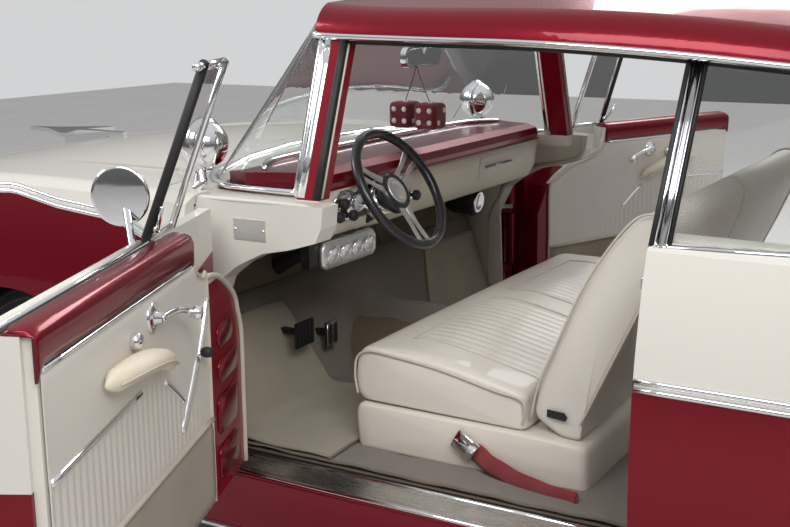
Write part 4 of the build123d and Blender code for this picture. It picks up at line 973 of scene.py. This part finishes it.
def dashboard_dress():
    rows = [[(x, y, z) for y, z in ((-899, 992), (-905, 950), (-908, 915), (-918, 892), (-932, 868), (-950, 858))]
            for x in (-690 + i * 1380 / 60 for i in range(61))]
    thicken(grid_mesh("dash_face", rows, "vinyl_dark", **TRIM), 0.004)
    moulding("dash_lip_trim", [(x, -896, 996) for x in (-690, -300, 0, 300, 690)], (0, 1, 0), 8, 4, "red")
    outline = [(-560, -902, 978), (-250, -902, 978), (-250, -911, 905), (-560, -911, 905)]
    rounded_slab("glove_lid", outline, (0, 0.98, -0.12), 8, 3, "vinyl", **TRIM)
    moulding("glove_handle", [(-470, -893, 944), (-280, -893, 944)], (0, 1, 0), 7, 5, "dark_chrome")
    # Instrument panel behind the wheel, with knobs beside it
    outline = [(240, -897, 988), (560, -897, 988), (600, -899, 960), (560, -908, 905), (240, -908, 905),
               (210, -902, 950)]
    rounded_slab("gauge_panel", outline, (0, 0.99, -0.1), 9, 3, "chrome", **BRIGHT)
    for x, r in ((380, 42), (285, 22), (480, 22)):
        gauge(f"dash_gauge_{x}", (x, -892, 948), (0, 0.99, -0.1), r)
    for i, (x, z) in enumerate(((560, 955), (585, 925), (520, 920), (640, 950), (640, 915), (190, 925))):
        for label, profile, key in (("", [(5, 0), (5, 14), (14, 16), (15, 26), (11, 32), (0, 33)], "black"),
                                    ("ring_", [(17, 0), (17, 3), (13, 6), (6, 6)], "chrome")):
            lathe(f"dash_knob_{label}{i}", profile, (x, -902, z), (0, 1, 0), key, steps=20)
    # Pod of four gauges under the dash
    pod = [(x, -926, z) for x, z in ((372, 792), (604, 792), (618, 806), (618, 846), (604, 860), (372, 860),
                                     (358, 846), (358, 806))]
    rounded_slab("gauge_pod", pod, (0, 0.96, -0.28), 16, 5, "brushed", **BRIGHT)
    for i in range(4):
        gauge(f"pod_gauge_{i}", (400 + i * 59, -909, 822), (0, 0.96, -0.28), 25)
    soft_box("gauge_pod_box", (366, 610), (-1000, -925), (798, 856), 6, "black")
    # Speaker pod on the far side
    lathe("speaker_pod", [(46, 0), (52, 20), (52, 90), (46, 100), (0, 101)], (-560, -1160, 790), (0, 1, -0.1), "black")
    lathe("speaker_ring", [(34, 0), (40, 2), (40, 8), (30, 10), (24, 6), (0, 5)], (-560, -1060, 780), (0, 1, -0.1),
          "chrome")
    # Demister rail along the glass
    half = [(680, -1040, 1050), (560, -1110, 1052), (300, -1128, 1053)]
    tube("dash_rail", half + [(0, -1134, 1053)] + [(-x, y, z) for x, y, z in half[::-1]], 7, "chrome", curved=True,
         **BRIGHT)
    lathe("kick_vent", [(42, 0), (44, 4), (36, 8), (30, 3), (0, 2)], (772, -1150, 690), (-0.5, 0.86, 0), "chrome")


def steering():
    """Padded ring, three slotted spokes and a bare hub cap, on the tilted column."""
    axis = Vector((0, math.cos(WHEEL_TILT), math.sin(WHEEL_TILT)))
    up = Vector((0, -math.sin(WHEEL_TILT), math.cos(WHEEL_TILT)))
    wheel = {"body": "steering_wheel", "slot": "wheel_black"}

    def at(x, y, h=0.0):
        return WHEEL_CENTRE + Vector((1, 0, 0)) * x + up * y + axis * h

    rows = []
    for i, (ct, st) in enumerate(circle(96)):
        grip = GRIP_R + 0.6 * math.cos(12 * (2 * math.pi * i / 96))
        rows.append([at((RING_R + grip * c) * ct, (RING_R + grip * c) * st, grip * s) for c, s in circle(16)])
    rim = grid_mesh("wheel_rim", rows, "grip", closed_u=True, closed_v=True, **wheel)
    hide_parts("steering_wheel")
    for k, angle in enumerate((30, 150, 270)):
        c, s = math.cos(math.radians(angle)), math.sin(math.radians(angle))
        bm = bmesh.new()
        for sign in (1, -1):
            lower = []
            for r, w, h in ((34, 25, 26), (100, 19.5, 20), (162, 27, 4), (162, 13, 4), (132, 9, 12), (80, 7, 22),
                            (60, 5, 25), (34, 4, 26)):
                rise = (HUB_BACK - 4) * max(0, (r - 60) / 102) ** 1.3 * 0.82
                w *= sign
                lower.append(bm.verts.new(at(r * c - w * s, r * s + w * c, -HUB_BACK + h - 2 + rise) * MM))
            upper = [bm.verts.new(v.co + axis * 4 * MM) for v in lower]
            for a in range(len(lower)):
                b = (a + 1) % len(lower)
                bm.faces.new((lower[a], lower[b], upper[b], upper[a]))
            bm.faces.new(lower)
            bm.faces.new(upper)
        finish_mesh(f"wheel_spoke_{k}", bm, "brushed", smooth=False, **wheel)
    hub = at(0, 0, -HUB_BACK)
    for label, key, profile in (
            ("ring", "grip", [(48, 0), (56, 4), (57, 20), (50, 32), (40, 34), (38, 26)]),
            ("cap", "brushed", [(39, 22), (39, 28), (36, 33), (26, 35), (24, 31), (12, 32), (0, 33)])):
        lathe(f"wheel_hub_{label}", profile, hub, axis, key, "steering_wheel", steps=48)
    lathe("column_collar", [(30, -8), (40, -4), (40, -60), (36, -66), (28, -66)], hub, axis, "chrome", **BRIGHT)
    stalk = WHEEL_CENTRE - axis * 74
    pts = [stalk + Vector((30, 0, 0)), stalk + Vector((80, 8, 8)), stalk + Vector((125, 14, 10))]
    tube("signal_stalk", pts, 4, "chrome", curved=True)


# ---- Seats -------------------------------------------------------------------


def cushion(name, outline, half, replaced, relief, material="seat", bulge=16.0, slot="seat_vinyl"):
    """A stuffed form: an outline in Y and Z run across the car, its ends drawn in and crowned."""
    x0, x1 = half if isinstance(half, tuple) else (-half, half)
    centre = sum(outline, Vector((0, 0))) / len(outline)
    ends = [(0.0, 0.03), (0.0, 0.3), (0.0, 0.6), (0.0, 0.85), (0.0, 0.95), (0.004, 0.985), (0.012, 0.997),
            (0.026, 1.0), (0.05, 1.0)]
    spans = ends + [(0.05 + 0.9 * i / 240, 1.0) for i in range(1, 240)] + [(1 - t, k) for t, k in ends[::-1]]
    rows = []
    for n, (t, k) in enumerate(spans):
        x = x0 + (x1 - x0) * t
        if k < 1:
            drawn = bulge * 0.5 - (bulge * (1 - k * k) * 0.55 if k < 0.99 else 0.0)
            x += drawn if n < len(spans) / 2 else -drawn
        row = []
        for p in outline:
            d = p - centre
            q, out = centre + d * k, d.normalized()
            push = relief(x, q.x, q.y) if k > 0.99 else 0.0
            row.append((x, q.x + out.x * push, q.y + out.y * push))
        rows.append(row)
    obj = grid_mesh(name, rows, material, closed_v=True, caps=True, slot=slot)
    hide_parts(*replaced)
    return obj


def groove(x, first, pitch, power):
    """1 in a sewn channel and 0 on the crown between two, across the car."""
    return 1 - abs(math.sin(math.pi * (abs(x) - first) / pitch)) ** power


def bench_relief(x, y, z):
    if not (z > 545 and y > -700):
        return 4 * math.sin(math.pi * min(1, max(0, (x + SEAT_HALF) / (2 * SEAT_HALF)))) if z > 560 else 0
    crown = 7 * math.sin(math.pi * (x + SEAT_HALF) / (2 * SEAT_HALF)) + 5
    if 60 < abs(x) < 520 and y < -352:
        return crown - 4.5 * groove(x, 60, 32.9, 0.5)
    return crown + 2


def back_relief(x, y, z):
    if 560 < z < 930 and y < -60 - (930 - z) * 0.42:
        return 3 - 4.0 * groove(x, 70, 34.6, 0.5) if 70 < abs(x) < 520 else 5
    return 2 * math.sin(math.pi * min(1, (z - 460) / 560))


def rear_relief(x, y, z):
    return 6 - 3.2 * groove(x, 60, 42, 0.6) if z > 550 and 60 < abs(x) < 540 else 4


def rear_back_relief(x, y, z):
    pleated = y < 840 and 600 < z < 900 and 60 < abs(x) < 540
    return 5 - 3.0 * groove(x, 60, 42, 0.6) if pleated else 2


def seats():
    # Front bench, with its piping and the seams round its pleats
    outline = rounded_outline([(-330, 468), (-796, 474), (-809, 530), (-800, 596), (-770, 618), (-560, 604),
                               (-345, 560)], [20, 30, 60, 40, 50, 80, 40])
    bench = surface_of(cushion("seat_cushion", outline, 648, ["front_seat_cushion"], bench_relief))

    def on_top(x, y):
        hit = bench.ray_cast(Vector((x * MM, y * MM, 1.0)), Vector((0, 0, -1)))[0]
        return (x, y, hit.z / MM + 0.6)

    for name, side in SIDES:
        pts = [(side * 647, y, z) for y, z in ((-340, 488), (-334, 520), (-346, 548), (-420, 560), (-560, 588),
                                               (-700, 604), (-764, 606), (-795, 586), (-802, 540), (-794, 492))]
        tube(f"seat_piping_{name}", pts, 3.2, "piping", curved=True, **SEAT)
        for x in (56, 524):
            pts = [on_top(side * x, -700 + 15 * k) for k in range(24)]
            tube(f"seat_seam_{side * x}", pts, 2.0, "piping", steps=6)
        pts = [on_top(side * (56 + 13 * k), -702) for k in range(37)]
        tube(f"seat_seam_front_{name}", pts, 2.0, "piping", steps=6)
    base = rounded_outline([(-176, 348), (-182, 462), (-330, 468), (-792, 470), (-800, 440), (-792, 352)],
                           [10, 24, 10, 20, 20, 12])
    cushion("seat_skirt", base, 661, ["front_seat_base"], lambda x, y, z: 2.5 * math.sin(math.pi * (z - 348) / 122),
            "seat_cloth", 10.0, "seat_base_fabric")
    back = [(-322, 508), (-306, 585), (-258, 703), (-206, 824), (-150, 920), (-100, 985), (-66, 1008), (-34, 1006),
            (-10, 978), (-30, 900), (-66, 808), (-140, 644), (-200, 510), (-204, 464), (-250, 464)]
    outline = rounded_outline(back, [20, 30, 40, 40, 40, 40, 24, 24, 30, 40, 40, 60, 30, 12, 20], 3)
    for name, side in SIDES:
        cushion(f"seatback_{name}", outline, tuple(sorted((side * 4, side * 637))), [f"front_seatback_{name}"],
                back_relief)
        for label, points in (("front", back[:9]), ("rear", back[8:13])):
            pts = [(side * 638, y, z) for y, z in points]
            tube(f"seatback_piping_{label}_{name}", pts, 3.2, "piping", curved=True, **SEAT)
        pts = [(side * 639, y, z) for y, z in ((-282, 516), (-236, 512), (-232, 522), (-240, 532), (-282, 534))]
        rounded_slab(f"seat_pivot_{name}", pts, (side, 0, 0), 3, 1, "black", smooth=False)
    outline = rounded_outline([(346, 434), (332, 500), (338, 566), (385, 596), (600, 584), (760, 566), (770, 434)],
                              [16, 40, 40, 60, 60, 40, 16])
    cushion("rear_cushion", outline, 636, ["rear_seat"], rear_relief)
    outline = rounded_outline([(768, 575), (790, 548), (884, 562), (890, 925), (868, 952), (842, 948), (818, 900)],
                              [30, 20, 20, 20, 20, 24, 40])
    cushion("rear_backrest", outline, 636, [], rear_back_relief)


def belt():
    """Red sleeve of the seat belt, lying from the seat's side to the sill, and its buckle."""
    path = smooth_path([(671, -452, 408), (680, -405, 386), (696, -330, 368), (712, -250, 360), (722, -172, 358)], 8)
    section = ((-1, 0), (-0.96, 5), (-0.5, 8), (0, 9), (0.5, 8), (0.96, 5), (1, 0), (0.5, -3), (-0.5, -3))
    half = 24
    rows = []
    for i, p in enumerate(path):
        d = direction(path, i)
        across = d.cross(Vector((1, 0, 0))).normalized()
        n = d.cross(across)
        wave = 1.5 * math.sin(i / (len(path) - 1) * 22)
        rows.append([p + across * w * half + n * (h + wave) for w, h in section])
    grid_mesh("belt_sleeve", rows, "red_webbing", closed_v=True, caps=True, slot="seat_base_fabric")
    c = Vector((671, -474, 420))
    d = Vector((0.12, 0.82, -0.5)).normalized()
    a = Vector((0, 0.35, 0.9)).normalized()
    a = (a - d * a.dot(d)).normalized()
    n = d.cross(a)
    n = n if n.x > 0 else -n
    outline = [c + d * u + a * v for u, v in ((-34, -26), (30, -26), (30, 26), (-34, 26))]
    rounded_slab("belt_buckle", outline, n, 13, 5, "chrome", **BRIGHT)
    outline = [c + d * u + a * v + n * 13 for u, v in ((-20, -13), (10, -13), (10, 13), (-20, 13))]
    rounded_slab("belt_buckle_button", outline, n, 2.5, 1, "dark_chrome")


# ---- Outside, mirrors, pedals and dice -----------------------------------------


def wheels():
    wall = [(212, 82), (214, 87), (222, 90.5), (252, 92.4), (258, 92.3), (260, 88)]
    cap = [(176, 66), (178, 74), (168, 80), (150, 74), (140, 72), (120, 78), (90, 88), (60, 96), (56, 104),
           (30, 110), (0, 112)]
    for end, y, track in (("front", AXLE_FRONT_Y, TRACK_FRONT), ("rear", AXLE_REAR_Y, TRACK_REAR)):
        for name, side in SIDES:
            for label, profile, key, slot in (("whitewall", wall, "white", "tyre_rubber"),
                                              ("hubcap", cap, "chrome", "wheel_chrome")):
                lathe(f"{label}_{end}_{name}", profile, (side * track, y, AXLE_Z), (side, 0, 0), key,
                      f"wheel_{end}_{name}", steps=64, slot=slot)


def lamps():
    for name, side in SIDES:
        lathe(f"headlamp_bezel_{name}", [(86, 4), (96, 26), (110, 24), (116, 12), (116, -30)],
              (side * 790, -2600, 770), (0, -1, 0), "chrome", steps=56, **BRIGHT)
        lathe(f"headlamp_bowl_{name}", [(84, 2), (60, -20), (20, -38), (0, -40)], (side * 790, -2606, 770),
              (0, -1, 0), "mirror")
        lathe(f"tail_bezel_{name}", [(70, 0), (88, 2), (90, 10), (82, 18), (72, 16), (70, 6)],
              (side * 800, 2600, 760), (0, 1, 0), "chrome", steps=48, **BRIGHT)
        lathe(f"spot_ring_{name}", [(62, 14), (69, 10), (70, -6), (62, -16)], (side * 760, -1165, 1113),
              (0, -1, 0), "chrome", **BRIGHT)
        pts = [(side * 800, -1165, 1006), (side * 792, -1150, 1022), (side * 782, -1160, 1052)]
        tube(f"spot_grip_{name}", pts, 13, "chrome", curved=True, **BRIGHT)


def mirror_faces():
    c = door_point(920, -700, 1078)
    axis = (door_point(920, -699, 1078) - c).normalized()
    lathe("door_mirror_glass", [(56, 0.4), (56, 1.6), (0, 2.0)], c, axis, "mirror", "door_left", steps=48)
    lathe("door_mirror_rim", [(57, -2), (62, 0), (62, 3), (56, 4)], c, axis, "chrome", "door_left", steps=48)
    pts = [(98 * math.copysign(abs(c) ** 0.35, c), -959.7, 1300 + 24 * math.copysign(abs(s) ** 0.5, s))
           for c, s in circle(28)]
    rounded_slab("inside_mirror_glass", pts, (0, 1, 0), 1.5, 0.5, "mirror", smooth=False, slot="mirror_face")


def pedal_faces():
    """Rubber pads with ribs, and the accelerator's bright frame."""
    for k, x in enumerate(range(423, 503, 16)):
        soft_box(f"brake_rib_{k}", (x - 4, x + 4), (-1086, -1081), (530, 590), 1.5, "black", **PEDAL)
    outline = [(326, -1101, 484), (326, -1101, 556), (274, -1101, 556), (274, -1101, 484)]
    rounded_slab("accelerator_frame", outline, (0, 1, 0), 4, 1.5, "chrome", **PEDAL)
    for k, x in enumerate((287, 313)):
        soft_box(f"accelerator_slot_{k}", (x - 8, x + 8), (-1099, -1094), (492, 548), 2, "black", **PEDAL)


def dice_spots():
    """White spots standing a little proud of the six faces of each die."""
    across, along = (1, 0, 0), (0, 1, 0)
    faces = ((across, along, 4), ((-1, 0, 0), along, 3), (along, across, 2), ((0, -1, 0), across, 5),
             ((0, 0, 1), across, 1), ((0, 0, -1), across, 6))
    layout = {1: [(0, 0)], 2: [(-1, -1), (1, 1)], 3: [(-1, -1), (0, 0), (1, 1)],
              4: [(-1, -1), (1, -1), (-1, 1), (1, 1)], 5: [(-1, -1), (1, -1), (0, 0), (-1, 1), (1, 1)],
              6: [(-1, -1), (1, -1), (-1, 0), (1, 0), (-1, 1), (1, 1)]}
    for die, middle in enumerate(DICE):
        bm = bmesh.new()
        for n, a, count in faces:
            n, a = Vector(n), Vector(a)
            b = n.cross(a)
            for u, v in layout[count]:
                centre = Vector(middle) + n * (DIE_HALF + 1.6) + a * u * 17 + b * v * 17
                rings = [[bm.verts.new((centre + n * h + (a * c + b * s) * r) * MM) for c, s in circle(14)]
                         for r, h in ((8.0, 0), (7.4, 1.2), (4.4, 2.0), (0.1, 2.3))]
                for r0, r1 in zip(rings, rings[1:]):
                    for k in range(14):
                        bm.faces.new((r0[k], r0[(k + 1) % 14], r1[(k + 1) % 14], r1[k]))
                bm.faces.new(rings[0][::-1])
                bm.faces.new(rings[-1])
        finish_mesh(f"dice_spots_{die}", bm, "white", "body", slot="dice_plush")


def dice_strings():
    """Two short strings from the mirror's lower edge to the dice."""
    leave = Vector((46, -958, 1274))
    for k, (x, y, z) in enumerate(DICE):
        end = Vector((x, y, z + DIE_HALF))
        route = [leave, leave.lerp(end, 0.3) + Vector((0, 0, -4)), leave.lerp(end, 0.75), end]
        data = bpy.data.curves.new(f"dice_string_{k}", "CURVE")
        data.dimensions = "3D"
        data.bevel_depth = 0.0012
        data.bevel_resolution = 3
        line = data.splines.new("NURBS")
        line.points.add(len(route) - 1)
        for point, place in zip(line.points, route):
            point.co = (*(place * MM), 1)
        line.order_u = 3
        line.use_endpoint_u = True
        string = bpy.data.objects.new(f"dice_string_{k}", data)
        bpy.context.scene.collection.objects.link(string)
        data.materials.append(M["black"])
        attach(string, "body")


def jambs():
    """Ribs and strikers of the quarter panels' jambs, and ribs of the hinge pillars."""
    for name, side in SIDES:
        for i, z in enumerate((420, 500, 580, 660)):
            soft_box(f"jamb_rib_{name}_{i}", (830, 905), (15, 21), (z, z + 34), 2.5, "red", side, **BODY_RED)
        for i, z in enumerate((905, 850)):
            soft_box(f"striker_{name}_{i}", (850, 885), (10, 21), (z, z + 26), 3, "chrome", side, **BRIGHT)
        for i, z in enumerate((430, 560, 640)):
            soft_box(f"pillar_rib_{name}_{i}", (800, 846), (-1115, -1109), (z, z + 60), 2.5, "red", side, **BODY_RED)


dress_cad()
camera()
ground()
studio()
for door_name, door_side in SIDES:
    door_details(door_name, door_side)
    vent_details(door_name, door_side)
for make in (sills, carpets, kick_panels, windshield_trim, roof_trim, side_strips, dashboard_dress, steering, seats,
             belt, wheels, lamps, mirror_faces, pedal_faces, dice_spots, dice_strings, jambs):
    make()
